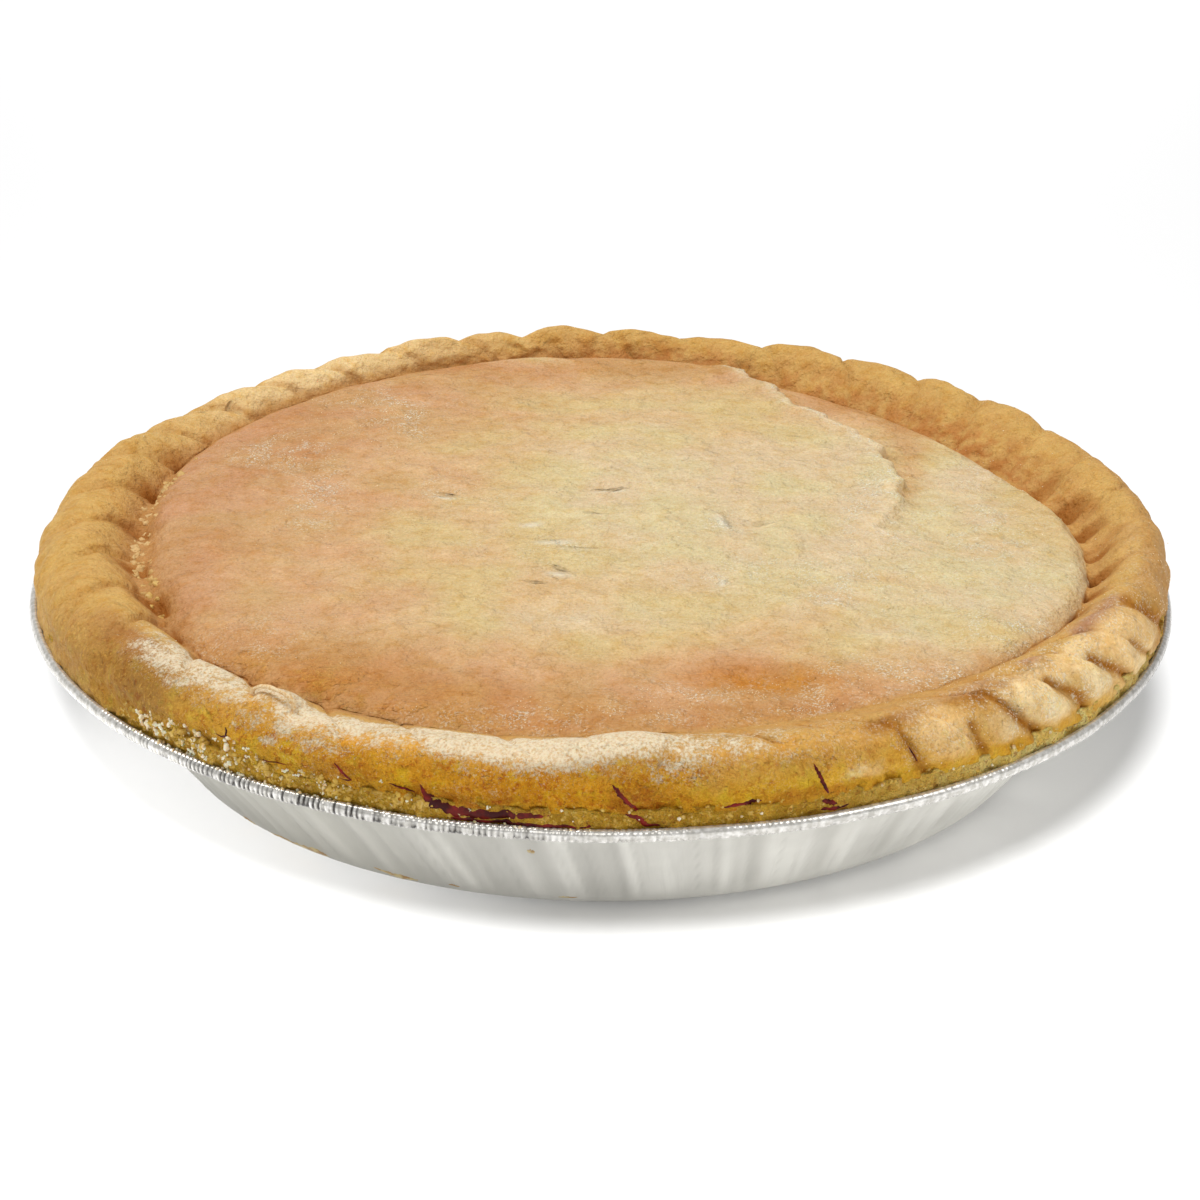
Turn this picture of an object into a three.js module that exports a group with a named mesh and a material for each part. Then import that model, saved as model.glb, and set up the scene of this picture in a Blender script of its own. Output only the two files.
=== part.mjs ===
// Apple pie baked in its foil dish, about 230 mm across. Millimetres, +Z up.
// The origin is the middle of the dish's underside, which rests on z = 0. +X is the side where
// the lid has its lower shelf, and -Y is the front, where juice shows in the seam.
// Angles are in degrees from +X towards +Y, so the front is at 270 and the back at 90.
import * as THREE from "three";

const degree = Math.PI / 180;
const fullTurn = 360;

// Foil dish: flat base, slanted wall with soft pleats, narrow flange and a rolled edge.
const dishRadius = 114;
const baseRadius = 86.8;
const flangeRadius = 107;
const flangeHeight = 28.4;
const foil = 0.6;
const cornerHeight = 1.5;
const rollRadius = 1;
const rollPoints = 6;
const rollStart = -125;
const rollSweep = 300;
const pleatCount = 40;
const pleatDepth = 0.5;
const pleatRipples = [{ amount: 0.3, rate: 5 }];

// Neighbouring pieces are this far apart.
const gap = 0.3;

// Bottom crust: a shell in the dish that runs out over the flange. The seam above its lip is
// open at the front. Elsewhere the lip is tucked in and the top crust hangs over it.
const shellThickness = 3;
const shellFlangeRadius = 110.5;
const shellLipRadius = 112.3;
const shellLipHeight = 31;
const shellLipTurn = 0.8;
const shellTuck = 1.6;
const shellRipples = [
  { amount: 0.25, rate: 11 },
  { amount: 0.15, rate: 23 },
];
const shellSteps = 72;
const seamHeight = 32.2;
const seamOpening = [{ amount: 1, at: 272, width: 50 }];

// Filling: it fills all between the crusts, and a thin edge of juice runs out in the front seam.
const juiceThickness = 0.6;
const juiceRadius = 107;
const juiceReach = 4;
const fillingSteps = 60;

// Top crust: a slightly domed lid inside a thick crimped rim. The lists say how the lid and the
// rim change round the pie: by how much, at which angle and over what width.
const lidCentreHeight = 42;
const lidEdgeHeight = 40;
const lidEdgeChanges = [
  { amount: 0.9, at: 70, width: 55 },
  { amount: -1.3, at: 185, width: 45 },
];
const lidCurve = 2.5;
const lidThickness = 4.5;
const lidWave = { height: 0.35, x: 17, y: 21 };
const lidShares = [0.92, 0.78, 0.62, 0.4, 0];
const creaseRadius = 98.5;
const creaseRadiusChanges = [
  { amount: -5, at: 190, width: 36 },
  { amount: 2.5, at: 110, width: 30 },
];
const creaseDepth = 1;
const creaseDepthChanges = [
  { amount: 1, at: 0, width: 60 },
  { amount: 1.4, at: 190, width: 40 },
  { amount: -1, at: 296, width: 36 },
];
const crestRadius = 107.8;
const crestRadiusChanges = [
  { amount: -3.5, at: 200, width: 42 },
  { amount: -0.8, at: 30, width: 30 },
];
const crestHeight = 42.6;
const crestHeightChanges = [
  { amount: 2.2, at: 100, width: 30 },
  { amount: 0.8, at: 60, width: 20 },
  { amount: -1.6, at: 146, width: 16 },
  { amount: -0.8, at: 185, width: 22 },
];
const bulge = { radius: 112.6, height: 36.8 };
const lipRadius = 111.2;
const lipReach = 1.2;
const lipDrop = 3;
const rimShift = 0.4;

// The rim's crimps: pillows between sharp furrows that slant over the crest and down outside.
const crimpCount = 41;
const pointsPerCrimp = 5;
const crimpStart = 7.8;
const crimpLean = 9;
const pillowSkew = 0.8;
const pillowMean = 0.6;
const pillowRipples = [
  { amount: 0.28, rate: 2.4 },
  { amount: 0.12, rate: 5.1 },
];
const crowding = 11;
const crowdingTwice = 4.4;
const crowdedAngle = 295;
// The pillows are flatter inside at the front, and outside at the front left.
const flatterInside = [{ amount: 0.7, at: 262, width: 34 }];
const flatterOutside = [{ amount: 0.3, at: 235, width: 30 }];

// The lid's raised middle ends on the right in an uneven step down to a lower shelf.
const stepDepth = 2.3;
const stepWidth = 6;
const stepX = 62.7;
const stepBack = { from: 20, bend: 0.085, power: 1.4 };
const stepNotch = { y: -6, depth: 6.5, width: 9 };
const stepFront = { from: -12, slope: 0.4 };
const stepFade = { none: -34, full: -16 };

// From nothing below the low value to one above the high value.
function blend(low, high, value) {
  const part = Math.min(1, Math.max(0, (value - low) / (high - low)));
  return part * part * (3 - 2 * part);
}

// The sum of the changes at an angle. Each is full at its own angle and fades on both sides, to
// almost nothing at twice its width.
function changesAt(changes, angle) {
  let sum = 0;
  for (const { amount, at, width } of changes) {
    const away = ((((angle - at) % fullTurn) + 1.5 * fullTurn) % fullTurn) - fullTurn / 2;
    sum += amount * Math.exp(-((away / width) ** 2));
  }
  return sum;
}

// The sum of some small waves, which makes a row of like things uneven.
function ripplesAt(ripples, value) {
  return ripples.reduce((sum, { amount, rate }) => sum + amount * Math.sin(rate * value), 0);
}

// Turns a section about Z. Its rows go from the axis underneath, outwards and over, back to the
// axis on top, and place() gives the radius, angle and height of a row at each turn.
function turned(section, steps, place) {
  const outline = section.map((row) => new THREE.Vector2(row.radius, row.height));
  const geometry = new THREE.LatheGeometry(outline, steps);
  const position = geometry.attributes.position;
  for (let step = 0; step <= steps; step++) {
    const turn = ((step % steps) * fullTurn) / steps;
    for (let index = 0; index < section.length; index++) {
      const { radius, angle, height, shift } = { shift: 0, ...place(section[index], turn) };
      const x = radius * Math.cos(angle * degree) + shift;
      const y = radius * Math.sin(angle * degree);
      position.setXYZ(step * section.length + index, x, y, height);
    }
  }
  geometry.computeVertexNormals();
  return geometry;
}

function piece(name, geometry, finish) {
  const mesh = new THREE.Mesh(geometry, new THREE.MeshStandardMaterial(finish));
  mesh.name = name;
  return mesh;
}

// Radius of the dish wall's outer face, and how far a layer lying on the wall reaches across it.
const wallSpread = (flangeRadius - baseRadius) / (flangeHeight - foil);
const wallRadius = (height) => baseRadius + wallSpread * height;
const across = (thickness) => thickness * Math.hypot(1, wallSpread);

// The pleats push the wall outwards, most at half height.
function makeDish() {
  const roll = [];
  for (let point = 0; point < rollPoints; point++) {
    const angle = (rollStart + (rollSweep * point) / (rollPoints - 1)) * degree;
    roll.push({
      radius: dishRadius - rollRadius + rollRadius * Math.cos(angle),
      height: flangeHeight + rollRadius * Math.sin(angle),
    });
  }
  const middle = flangeHeight / 2;
  const section = [
    { radius: 0, height: 0 },
    { radius: baseRadius - cornerHeight, height: 0 },
    { radius: wallRadius(cornerHeight), height: cornerHeight, pleat: 0.5 },
    { radius: wallRadius(middle), height: middle, pleat: 1 },
    { radius: flangeRadius, height: flangeHeight - foil },
    ...roll,
    { radius: flangeRadius, height: flangeHeight },
    { radius: wallRadius(middle) - across(foil), height: middle, pleat: 1 },
    { radius: wallRadius(cornerHeight) - across(foil), height: cornerHeight, pleat: 0.5 },
    { radius: baseRadius - cornerHeight - foil, height: foil },
    { radius: 0, height: foil },
  ];
  const geometry = turned(section, 2 * pleatCount, (row, turn) => {
    const fold = (1 + Math.cos(pleatCount * turn * degree)) / 2;
    const uneven = 1 + ripplesAt(pleatRipples, turn * degree);
    const push = pleatDepth * (row.pleat ?? 0) * fold * uneven;
    return { radius: row.radius + push, angle: turn, height: row.height };
  });
  return piece("foil_dish", geometry, { color: 0xc9c6bb, roughness: 0.35, metalness: 0.9 });
}

// How much of the seam is open: one at the front, and nothing where the top crust covers it.
const openSeam = (angle) => changesAt(seamOpening, angle);
const shellFloor = foil + gap + shellThickness;
const shellInside = (height) => wallRadius(height) - across(foil + gap + shellThickness);

function makeBottomCrust() {
  const underside = foil + gap;
  const outside = (height) => wallRadius(height) - across(underside);
  const onFlange = flangeHeight + gap;
  const section = [
    { radius: 0, height: underside },
    { radius: baseRadius - 2 * cornerHeight, height: underside },
    { radius: outside(2 * cornerHeight), height: 2 * cornerHeight },
    { radius: outside(onFlange), height: onFlange },
    { radius: shellFlangeRadius, height: onFlange },
    { radius: shellLipRadius, height: shellLipHeight, lip: true },
    { radius: shellLipRadius - shellLipTurn, height: seamHeight, lip: true },
    { radius: shellInside(seamHeight), height: seamHeight },
    { radius: shellInside(shellFloor), height: shellFloor },
    { radius: 0, height: shellFloor },
  ];
  const geometry = turned(section, shellSteps, (row, turn) => {
    const ragged = ripplesAt(shellRipples, turn * degree);
    const lip = row.lip ? ragged - shellTuck * (1 - openSeam(turn)) : 0;
    return { radius: row.radius + lip, angle: turn, height: row.height };
  });
  return piece("bottom_crust", geometry, { color: 0xbb882b, roughness: 0.7, metalness: 0 });
}

// The top crust's underside from the middle out to the seam. The filling follows it.
const underMiddle = { radius: 0, height: lidCentreHeight - lidThickness };
const underSlope = { radius: 72, height: 35.4 };
const underSeam = { radius: 104, height: seamHeight + juiceThickness + 2 * gap };

function makeFilling() {
  const below = ({ radius, height }) => ({ radius, height: height - gap });
  const inside = (height) => shellInside(height) - across(gap);
  const floor = shellFloor + gap;
  const seam = seamHeight + gap;
  const section = [
    { radius: 0, height: floor },
    { radius: inside(floor), height: floor },
    { radius: inside(seam), height: seam },
    { radius: juiceRadius, height: seam, edge: true },
    { radius: juiceRadius, height: seam + juiceThickness, edge: true },
    below(underSeam),
    below(underSlope),
    below(underMiddle),
  ];
  const geometry = turned(section, fillingSteps, (row, turn) => {
    const reach = row.edge ? juiceReach * openSeam(turn) : 0;
    return { radius: row.radius + reach, angle: turn, height: row.height };
  });
  return piece("filling", geometry, { color: 0x6e2321, roughness: 0.3, metalness: 0 });
}

// The step's edge, as X for each Y. It bends in at the back, has a notch and runs out in front.
function stepLine(y) {
  const back = stepBack.bend * Math.max(0, y - stepBack.from) ** stepBack.power;
  const notch = stepNotch.depth * Math.exp(-(((y - stepNotch.y) / stepNotch.width) ** 2));
  const front = stepFront.slope * Math.max(0, stepFront.from - y);
  return stepX - back - notch + front;
}

function lidHeight(radius, angle) {
  const x = radius * Math.cos(angle * degree);
  const y = radius * Math.sin(angle * degree);
  const edge = lidEdgeHeight + changesAt(lidEdgeChanges, angle);
  const dome = (lidCentreHeight - edge) * (radius / creaseRadius) ** lidCurve;
  const past = blend(-stepWidth / 2, stepWidth / 2, x - stepLine(y));
  const step = stepDepth * past * blend(stepFade.none, stepFade.full, y);
  const wave = lidWave.height * Math.sin(x / lidWave.x + 1) * Math.cos(y / lidWave.y);
  return lidCentreHeight - dome - step + wave;
}

// How the rim changes round the pie: the crease where it meets the lid, its crest, the widest
// part of its outer face, and the lip at the seam, which hangs over the bottom crust where the
// seam is closed.
function rimAt(angle) {
  const crease = creaseRadius + changesAt(creaseRadiusChanges, angle);
  const depth = creaseDepth + changesAt(creaseDepthChanges, angle);
  const covering = 1 - openSeam(angle);
  return {
    crease: { radius: crease, height: lidHeight(crease, angle) - depth },
    crest: {
      radius: crestRadius + changesAt(crestRadiusChanges, angle),
      height: crestHeight + changesAt(crestHeightChanges, angle),
    },
    bulge,
    lip: {
      radius: lipRadius + lipReach * covering,
      height: underSeam.height - lipDrop * covering,
    },
  };
}

// Height of a pillow at each point along its crimp: nothing in the furrow and one at its top.
function pillowAt(turn) {
  const point = Math.round((turn * crimpCount * pointsPerCrimp) / fullTurn);
  const crimp = Math.floor(point / pointsPerCrimp);
  const along = (point % pointsPerCrimp) / pointsPerCrimp;
  const uneven = 1 + ripplesAt(pillowRipples, crimp);
  return uneven * (Math.sin(Math.PI * (1 - (1 - along) ** pillowSkew)) - pillowMean);
}

// Rows of the rim from the lip at the seam, over the crest and down inside to the crease. Each
// lies part of the way between two places. A pillow pushes it out and up, and the furrows lean
// further round the lower they are outside.
const rimRows = [
  { from: "lip", to: "bulge", across: 0, rise: 0, lean: 1, out: 0.6, up: 0 },
  { from: "bulge", to: "crest", across: 0, rise: 0, lean: 0.85, out: 1.8, up: 0.4 },
  { from: "bulge", to: "crest", across: 0.4, rise: 0.7, lean: 0.7, out: 1.3, up: 1.4 },
  { from: "crest", to: "crease", across: 0, rise: 0, lean: 0.55, out: 0.2, up: 2.4 },
  { from: "crest", to: "crease", across: 0.5, rise: 0.42, lean: 0.25, out: -1.2, up: 1.5 },
  { from: "crest", to: "crease", across: 1, rise: 1, lean: 0, out: -1.1, up: 0.9 },
];

function placeRim(row, turn, even) {
  const angle = even + crimpLean * row.lean;
  const rim = rimAt(angle);
  const from = rim[row.from];
  const to = rim[row.to];
  const inside = row.to === "crease";
  const flatter = changesAt(inside ? flatterInside : flatterOutside, angle);
  const swell = (1 - flatter) * pillowAt(turn);
  const radius = from.radius + row.across * (to.radius - from.radius) + row.out * swell;
  const height = from.height + row.rise * (to.height - from.height) + row.up * swell;
  return { radius, angle, height, shift: row.lean > 0 ? rimShift : 0 };
}

function placeLid(row, even) {
  const radius = row.share * rimAt(even).crease.radius;
  return { radius, angle: even, height: lidHeight(radius, even) };
}

function makeTopCrust() {
  const section = [
    underMiddle,
    underSlope,
    underSeam,
    { radius: lipRadius - shellLipTurn, height: underSeam.height },
    ...rimRows.map((row) => ({ radius: crestRadius, height: crestHeight, rim: true, ...row })),
    ...lidShares.map((share) => ({ radius: share, height: lidEdgeHeight, share })),
  ];
  const geometry = turned(section, crimpCount * pointsPerCrimp, (row, turn) => {
    const from = (turn - crowdedAngle) * degree;
    const crowd = crowding * Math.sin(from) + crowdingTwice * Math.sin(2 * from);
    const even = turn + crimpStart - crowd;
    if (row.rim) {
      return placeRim(row, turn, even);
    }
    if (row.share !== undefined) {
      return placeLid(row, even);
    }
    return { radius: row.radius, angle: even + crimpLean, height: row.height };
  });
  return piece("top_crust", geometry, { color: 0xd8ab70, roughness: 0.6, metalness: 0 });
}

const pie = new THREE.Group();
pie.add(makeDish(), makeBottomCrust(), makeFilling(), makeTopCrust());

export default pie;
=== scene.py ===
import math

import bpy
import numpy as np
from mathutils import Matrix, Vector, noise
from mathutils.bvhtree import BVHTree


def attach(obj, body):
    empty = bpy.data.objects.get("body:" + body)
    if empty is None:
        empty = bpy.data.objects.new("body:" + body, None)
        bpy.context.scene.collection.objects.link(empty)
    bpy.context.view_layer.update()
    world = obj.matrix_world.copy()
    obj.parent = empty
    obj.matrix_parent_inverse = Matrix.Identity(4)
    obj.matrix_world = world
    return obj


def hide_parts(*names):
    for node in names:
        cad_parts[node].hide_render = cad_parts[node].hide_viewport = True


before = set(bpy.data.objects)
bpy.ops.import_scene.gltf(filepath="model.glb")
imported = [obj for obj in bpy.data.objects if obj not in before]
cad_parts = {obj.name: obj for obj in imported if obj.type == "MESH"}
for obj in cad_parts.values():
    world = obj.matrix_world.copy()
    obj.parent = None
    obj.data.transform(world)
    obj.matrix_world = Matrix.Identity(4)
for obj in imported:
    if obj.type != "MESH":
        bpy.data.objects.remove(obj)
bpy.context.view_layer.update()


# ---- Where the pie stands ----
# A wide matt white table top, with pale light from all round. Three soft lamps light the pie
# alone and a low one the foil. The table has its own, and only one of them throws a shadow.
table_size = 8
table_white = 0.72
room_light = 0.47
lamp_warmth = (1, 0.985, 0.96)
lamps_aim = (0, 0, 0.03)


def bare_scene():
    bpy.ops.object.select_all(action="DESELECT")


bare_scene()
bpy.ops.mesh.primitive_plane_add(size=table_size)
floor = bpy.context.object
floor.name = "table_top"

table_paint = bpy.data.materials.new("table_paint")
table_paint.use_nodes = True
paint = table_paint.node_tree.nodes["Principled BSDF"].inputs
paint["Base Color"].default_value = (table_white, table_white, table_white, 1)
paint["Roughness"].default_value = 0.9
paint["Specular IOR Level"].default_value = 0.1
floor.data.materials.append(table_paint)

room = bpy.data.worlds.new("room")
room.use_nodes = True
room_glow = room.node_tree.nodes["Background"].inputs
room_glow["Color"].default_value = (1, 1, 1, 1)
room_glow["Strength"].default_value = room_light
bpy.context.scene.world = room


def hang_lamp(name, kind, place, power, lights, aim=lamps_aim):
    lamp = bpy.data.objects.new(name, bpy.data.lights.new(name, kind))
    lamp.data.energy = power
    lamp.location = place
    lamp.rotation_euler = (Vector(aim) - Vector(place)).to_track_quat("-Z", "Y").to_euler()
    lamp.light_linking.receiver_collection = lights
    bpy.context.scene.collection.objects.link(lamp)
    return lamp


def soft_lamp(name, place, size, power, lights):
    lamp = hang_lamp(name, "AREA", place, power, lights)
    lamp.data.shape = "DISK"
    lamp.data.size = size
    return lamp


table_only, all_but_table, foil_only = (
    bpy.data.collections.new(name) for name in ("table_only", "all_but_table", "foil_only")
)
table_only.objects.link(floor)
all_but_table.objects.link(floor)
all_but_table.collection_objects[0].light_linking.link_state = "EXCLUDE"
for name, place, size, power in [
    ("left_softbox", (-0.60, 0.30, 1.50), 0.8, 15.2),
    ("right_softbox", (1.0, -0.5, 1.15), 0.8, 4.6),
    ("front_fill", (-0.3, -1.6, 1.2), 1.0, 5),
]:
    soft_lamp(name, place, size, power, all_but_table).data.color = lamp_warmth
soft_lamp("foil_lamp", (0.75, -0.80, 0.10), 0.3, 12.5, foil_only)
soft_lamp("shadow_lamp", (-0.06, -0.90, 1.19), 0.34, 26, table_only)
back_lamp = soft_lamp("back_lamp", (0, 1.0, 0.55), 0.6, 4.6, table_only)
left_spot = hang_lamp("left_spot", "SPOT", (-0.55, -0.30, 0.60), 28, table_only, (-0.095, -0.060, 0))
left_spot.data.shadow_soft_size = 0
left_spot.data.spot_size = math.radians(12)
left_spot.data.spot_blend = 1
for shadowless in (back_lamp, left_spot):
    shadowless.light_linking.blocker_collection = table_only

view_height = math.radians(23)
view_distance = 0.57
view_roll = math.radians(0.55)
pie_middle = Vector((0, 0, 0.0277))
lens = bpy.data.cameras.new("camera")
lens.lens = 84.2
lens.sensor_width = 36
lens.shift_x = -0.0008
lens.shift_y = -0.0217
camera = bpy.data.objects.new("camera", lens)
bpy.context.scene.collection.objects.link(camera)
away = Vector((0, -math.cos(view_height), math.sin(view_height)))
camera.location = pie_middle + view_distance * away
look_down = Matrix.Rotation(math.radians(90) - view_height, 3, "X")
camera.rotation_euler = (look_down @ Matrix.Rotation(view_roll, 3, "Z")).to_euler()
bpy.context.scene.camera = camera
bpy.context.scene.view_settings.view_transform = "Standard"


# ---- Foil dish ----
# One round blank of thin aluminium foil pressed into a shallow dish. Pressing gathers the slanted
# wall into soft uneven pleats, and leaves shallow rings in the base. The wall ends in a narrow
# flange, which carries the rolled edge.
mm = 0.001
dish_radius = 114
base_radius = 86.8
flange_radius = 107
flange_height = 28.4
foil_thickness = 0.6
roll_radius = 1.0
pleat_depth = 0.55
pleat_lean = 0.11
foil_steps = 900
satin = (0.475, 0.465, 0.43)
bright_satin = (0.56, 0.55, 0.51)
pleat_shade_grey = (0.34, 0.33, 0.30)
streak_grey = (0.40, 0.39, 0.36)
left_shade_grey = (0.34, 0.33, 0.285)


def near(angle, centre, width):
    away = (angle - centre + 540) % 360 - 180
    return np.exp(-(away / width) ** 2)


def blend(low, high, value):
    part = np.clip((value - low) / (high - low), 0, 1)
    return part * part * (3 - 2 * part)


def bell(away, reach, power=2):
    """1 at no distance, falling to nothing past the reach. The power squares its shoulders."""
    return np.exp(-np.abs(away / reach) ** power)


def lumps(points, size, seed=0):
    """Soft uneven lumps of about one size, from -1 to 1, at each point."""
    shift = Vector((7.1 * seed, -3.7 * seed, 5.3 * seed))
    return np.array([noise.noise(Vector(p) / size + shift) for p in points]) * 1.6


def around(angle, radius=100.0):
    """Points on a circle, to read lumps from without a seam where the turn closes."""
    turn = np.radians(angle)
    return np.stack([radius * np.cos(turn), radius * np.sin(turn), 0 * turn], -1)


def turned_piece(name, section, steps):
    """Draws a section point by point, turns it round the middle and returns the piece, with the
    number of the section point and the angle in degrees of each of its vertices."""
    bare_scene()
    bpy.ops.mesh.primitive_plane_add(size=mm)
    piece = bpy.context.object
    piece.name = name
    bpy.ops.object.mode_set(mode="EDIT")
    bpy.ops.mesh.merge(type="CENTER")
    radius, height = section[0]
    bpy.ops.transform.translate(value=(radius * mm, 0, height * mm))
    for (r0, z0), (r1, z1) in zip(section, section[1:]):
        bpy.ops.mesh.extrude_vertices_move(
            TRANSFORM_OT_translate={"value": ((r1 - r0) * mm, 0, (z1 - z0) * mm)}
        )
    bpy.ops.object.mode_set(mode="OBJECT")
    drawn = np.array([(v.co.x / mm, v.co.z / mm) for v in piece.data.vertices])
    gaps = np.linalg.norm(drawn[:, None, :] - np.array(section)[None, :, :], axis=2)
    marks = piece.data.attributes.new("point", "INT", "POINT")
    marks.data.foreach_set("value", gaps.argmin(1).astype(np.int32))
    turn = piece.modifiers.new("turn", "SCREW")
    turn.axis = "Z"
    turn.angle = 2 * math.pi
    turn.screw_offset = 0
    turn.steps = steps
    turn.render_steps = steps
    turn.use_merge_vertices = True
    turn.merge_threshold = 1e-7
    bpy.ops.object.modifier_apply(modifier="turn")
    bpy.ops.object.mode_set(mode="EDIT")
    bpy.ops.mesh.select_all(action="SELECT")
    bpy.ops.mesh.remove_doubles(threshold=1e-7)
    bpy.ops.mesh.normals_make_consistent(inside=False)
    bpy.ops.mesh.faces_shade_smooth()
    bpy.ops.object.mode_set(mode="OBJECT")
    point = np.zeros(len(piece.data.vertices), np.int32)
    piece.data.attributes["point"].data.foreach_get("value", point)
    piece.data.attributes.remove(piece.data.attributes["point"])
    spot = places(piece)
    angle = np.degrees(np.arctan2(spot[:, 1], spot[:, 0])) % 360
    return piece, point, angle


def places(piece):
    spot = np.zeros(3 * len(piece.data.vertices))
    piece.data.vertices.foreach_get("co", spot)
    return spot.reshape(-1, 3) / mm


def put(piece, spot):
    piece.data.vertices.foreach_set("co", (spot * mm).ravel())
    piece.data.update()


def ring_spots(radius, angle, height):
    turn = np.radians(angle)
    return np.stack([radius * np.cos(turn), radius * np.sin(turn), height], -1)


def note(piece, name, values, kind="FLOAT"):
    """Writes one value for each vertex on the piece, for its material to read."""
    layer = piece.data.attributes.new(name, kind, "POINT")
    values = np.asarray(values, np.float32)
    layer.data.foreach_set("value" if kind == "FLOAT" else "vector", values.ravel())


def finish_piece(piece, material, slot, *nodes):
    piece.data.materials.clear()
    piece.data.materials.append(material)
    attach(piece, "root")
    if nodes:
        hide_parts(*nodes)


class Nodes:
    """Short words for laying out the nodes of one material."""

    def __init__(self, name):
        self.material = bpy.data.materials.new(name)
        self.material.use_nodes = True
        self.tree = self.material.node_tree
        self.shader = self.tree.nodes["Principled BSDF"]
        self.place = self.tree.nodes.new("ShaderNodeTexCoord").outputs["Object"]

    def plug(self, socket, value):
        if isinstance(value, bpy.types.NodeSocket):
            self.tree.links.new(value, socket)
        elif value is not None:
            socket.default_value = value

    def noise(self, size, detail=3, rough=0.55, stretch=(1, 1, 1), place=None):
        grid = self.tree.nodes.new("ShaderNodeMapping")
        grid.inputs["Scale"].default_value = stretch
        self.plug(grid.inputs["Vector"], place or self.place)
        cloud = self.tree.nodes.new("ShaderNodeTexNoise")
        cloud.inputs["Scale"].default_value = 1 / (size * mm)
        cloud.inputs["Detail"].default_value = detail
        cloud.inputs["Roughness"].default_value = rough
        self.plug(cloud.inputs["Vector"], grid.outputs["Vector"])
        return cloud.outputs["Fac"]

    def ramp(self, value, low, high):
        span = self.tree.nodes.new("ShaderNodeMapRange")
        span.interpolation_type = "SMOOTHSTEP"
        self.plug(span.inputs["Value"], value)
        span.inputs["From Min"].default_value = low
        span.inputs["From Max"].default_value = high
        return span.outputs["Result"]

    def reckon(self, kind, *values):
        step = self.tree.nodes.new("ShaderNodeMath")
        step.operation = kind
        for socket, value in zip(step.inputs, values):
            self.plug(socket, value)
        return step.outputs["Value"]

    def times(self, first, second):
        return self.reckon("MULTIPLY", first, second)

    def mix(self, amount, first, second, kind="MIX"):
        both = self.tree.nodes.new("ShaderNodeMix")
        both.data_type = "RGBA"
        both.blend_type = kind
        self.plug(both.inputs["Factor"], amount)
        for letter, colour in (("A", first), ("B", second)):
            self.plug(both.inputs[letter], (*colour, 1) if isinstance(colour, tuple) else colour)
        return both.outputs["Result"]

    def tint(self, amount, tone, filter):
        """Multiplies a tone by another colour, by an amount."""
        return self.mix(amount, tone, self.mix(1.0, tone, filter, "MULTIPLY"))

    def hollow(self, x, y, turn, reach_x, reach_y):
        """1 in the middle of a small oval seen from above, falling to 0 at its edge."""
        local = self.tree.nodes.new("ShaderNodeMapping")
        local.vector_type = "TEXTURE"
        local.inputs["Location"].default_value = (x * mm, y * mm, 0)
        local.inputs["Rotation"].default_value = (0, 0, math.radians(turn))
        local.inputs["Scale"].default_value = (reach_x * mm, reach_y * mm, 1)
        self.plug(local.inputs["Vector"], self.place)
        flat, size = (self.tree.nodes.new("ShaderNodeVectorMath") for _ in range(2))
        flat.operation = "MULTIPLY"
        flat.inputs[1].default_value = (1, 1, 0)
        self.plug(flat.inputs[0], local.outputs["Vector"])
        size.operation = "LENGTH"
        self.plug(size.inputs[0], flat.outputs["Vector"])
        return self.ramp(size.outputs["Value"], 1, 0)

    def layer(self, name):
        read = self.tree.nodes.new("ShaderNodeAttribute")
        read.attribute_name = name
        return read

    def bump(self, height, depth, strength=1.0, over=None):
        dent = self.tree.nodes.new("ShaderNodeBump")
        dent.inputs["Strength"].default_value = strength
        dent.inputs["Distance"].default_value = depth * mm
        self.plug(dent.inputs["Height"], height)
        if over is not None:
            self.plug(dent.inputs["Normal"], over)
        return dent.outputs["Normal"]

    def set(self, **sockets):
        for name, value in sockets.items():
            label = name.replace("_", " ").title()
            label = "Specular IOR Level" if name == "specular" else label
            self.plug(self.shader.inputs[label], value)


wall_spread = (flange_radius - base_radius) / (flange_height - foil_thickness)


def wall_radius(height):
    return base_radius + wall_spread * height


def across(thickness):
    return thickness * math.hypot(1, wall_spread)


under = [(0, 0)] + [(r, 0) for r in range(6, 84, 3)] + [(84.2, 0.1), (85.6, 0.5), (86.9, 1.2)]
wall_heights = [2 + 26.4 * k / 15 for k in range(15)]
outside = [(wall_radius(z), z) for z in wall_heights] + [(flange_radius, flange_height - 0.5)]
flange = [(110, flange_height - 0.45), (113.2, flange_height - 0.3), (113.2, flange_height + 0.3)]
flange += [(110, flange_height + 0.1), (flange_radius - 0.3, flange_height)]
inside = [(wall_radius(z) - across(0.5), z) for z in reversed(wall_heights)]
floor_inside = [(85.4, 0.9)] + [(r, 0.5) for r in range(81, 5, -6)] + [(0, 0.5)]
dish_section = under + outside + flange + inside + floor_inside
dish, point, angle = turned_piece("foil_wall", dish_section, foil_steps)
section = np.array(dish_section)
radius, height = section[point, 0], section[point, 1]

# The pleats lean a little, fade towards the base and the flange, and come in uneven groups.
slanted = angle + pleat_lean * height
loop = around(slanted)
folds = lumps(loop, 5.2, 1) + 0.7 * lumps(loop, 2.6, 2) + 0.4 * np.cos(np.radians(48 * slanted))
creases = -bell(lumps(loop, 3.6, 3), 0.14)
groups = 0.6 + 0.4 * lumps(loop, 38, 4)
rises = blend(1.0, 7, height) * (1 - 0.5 * blend(21, 28.4, height))
on_wall = (radius > base_radius - 1) & (height < flange_height - 0.6)
fold = groups * folds + 0.5 * creases
push = np.where(on_wall, np.minimum(pleat_depth * rises * fold, 0.8), 0)
rings = 0.18 * (1 + np.cos(radius / 2.4)) * blend(5, 12, radius) * (1 - blend(78, 83, radius))
dimples = 0.05 * (1 + lumps(ring_spots(radius, angle, 0 * radius), 9, 5)) * (radius < 82)
put(dish, ring_spots(radius + push, angle, np.maximum(height + rings + dimples, 0)))
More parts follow.
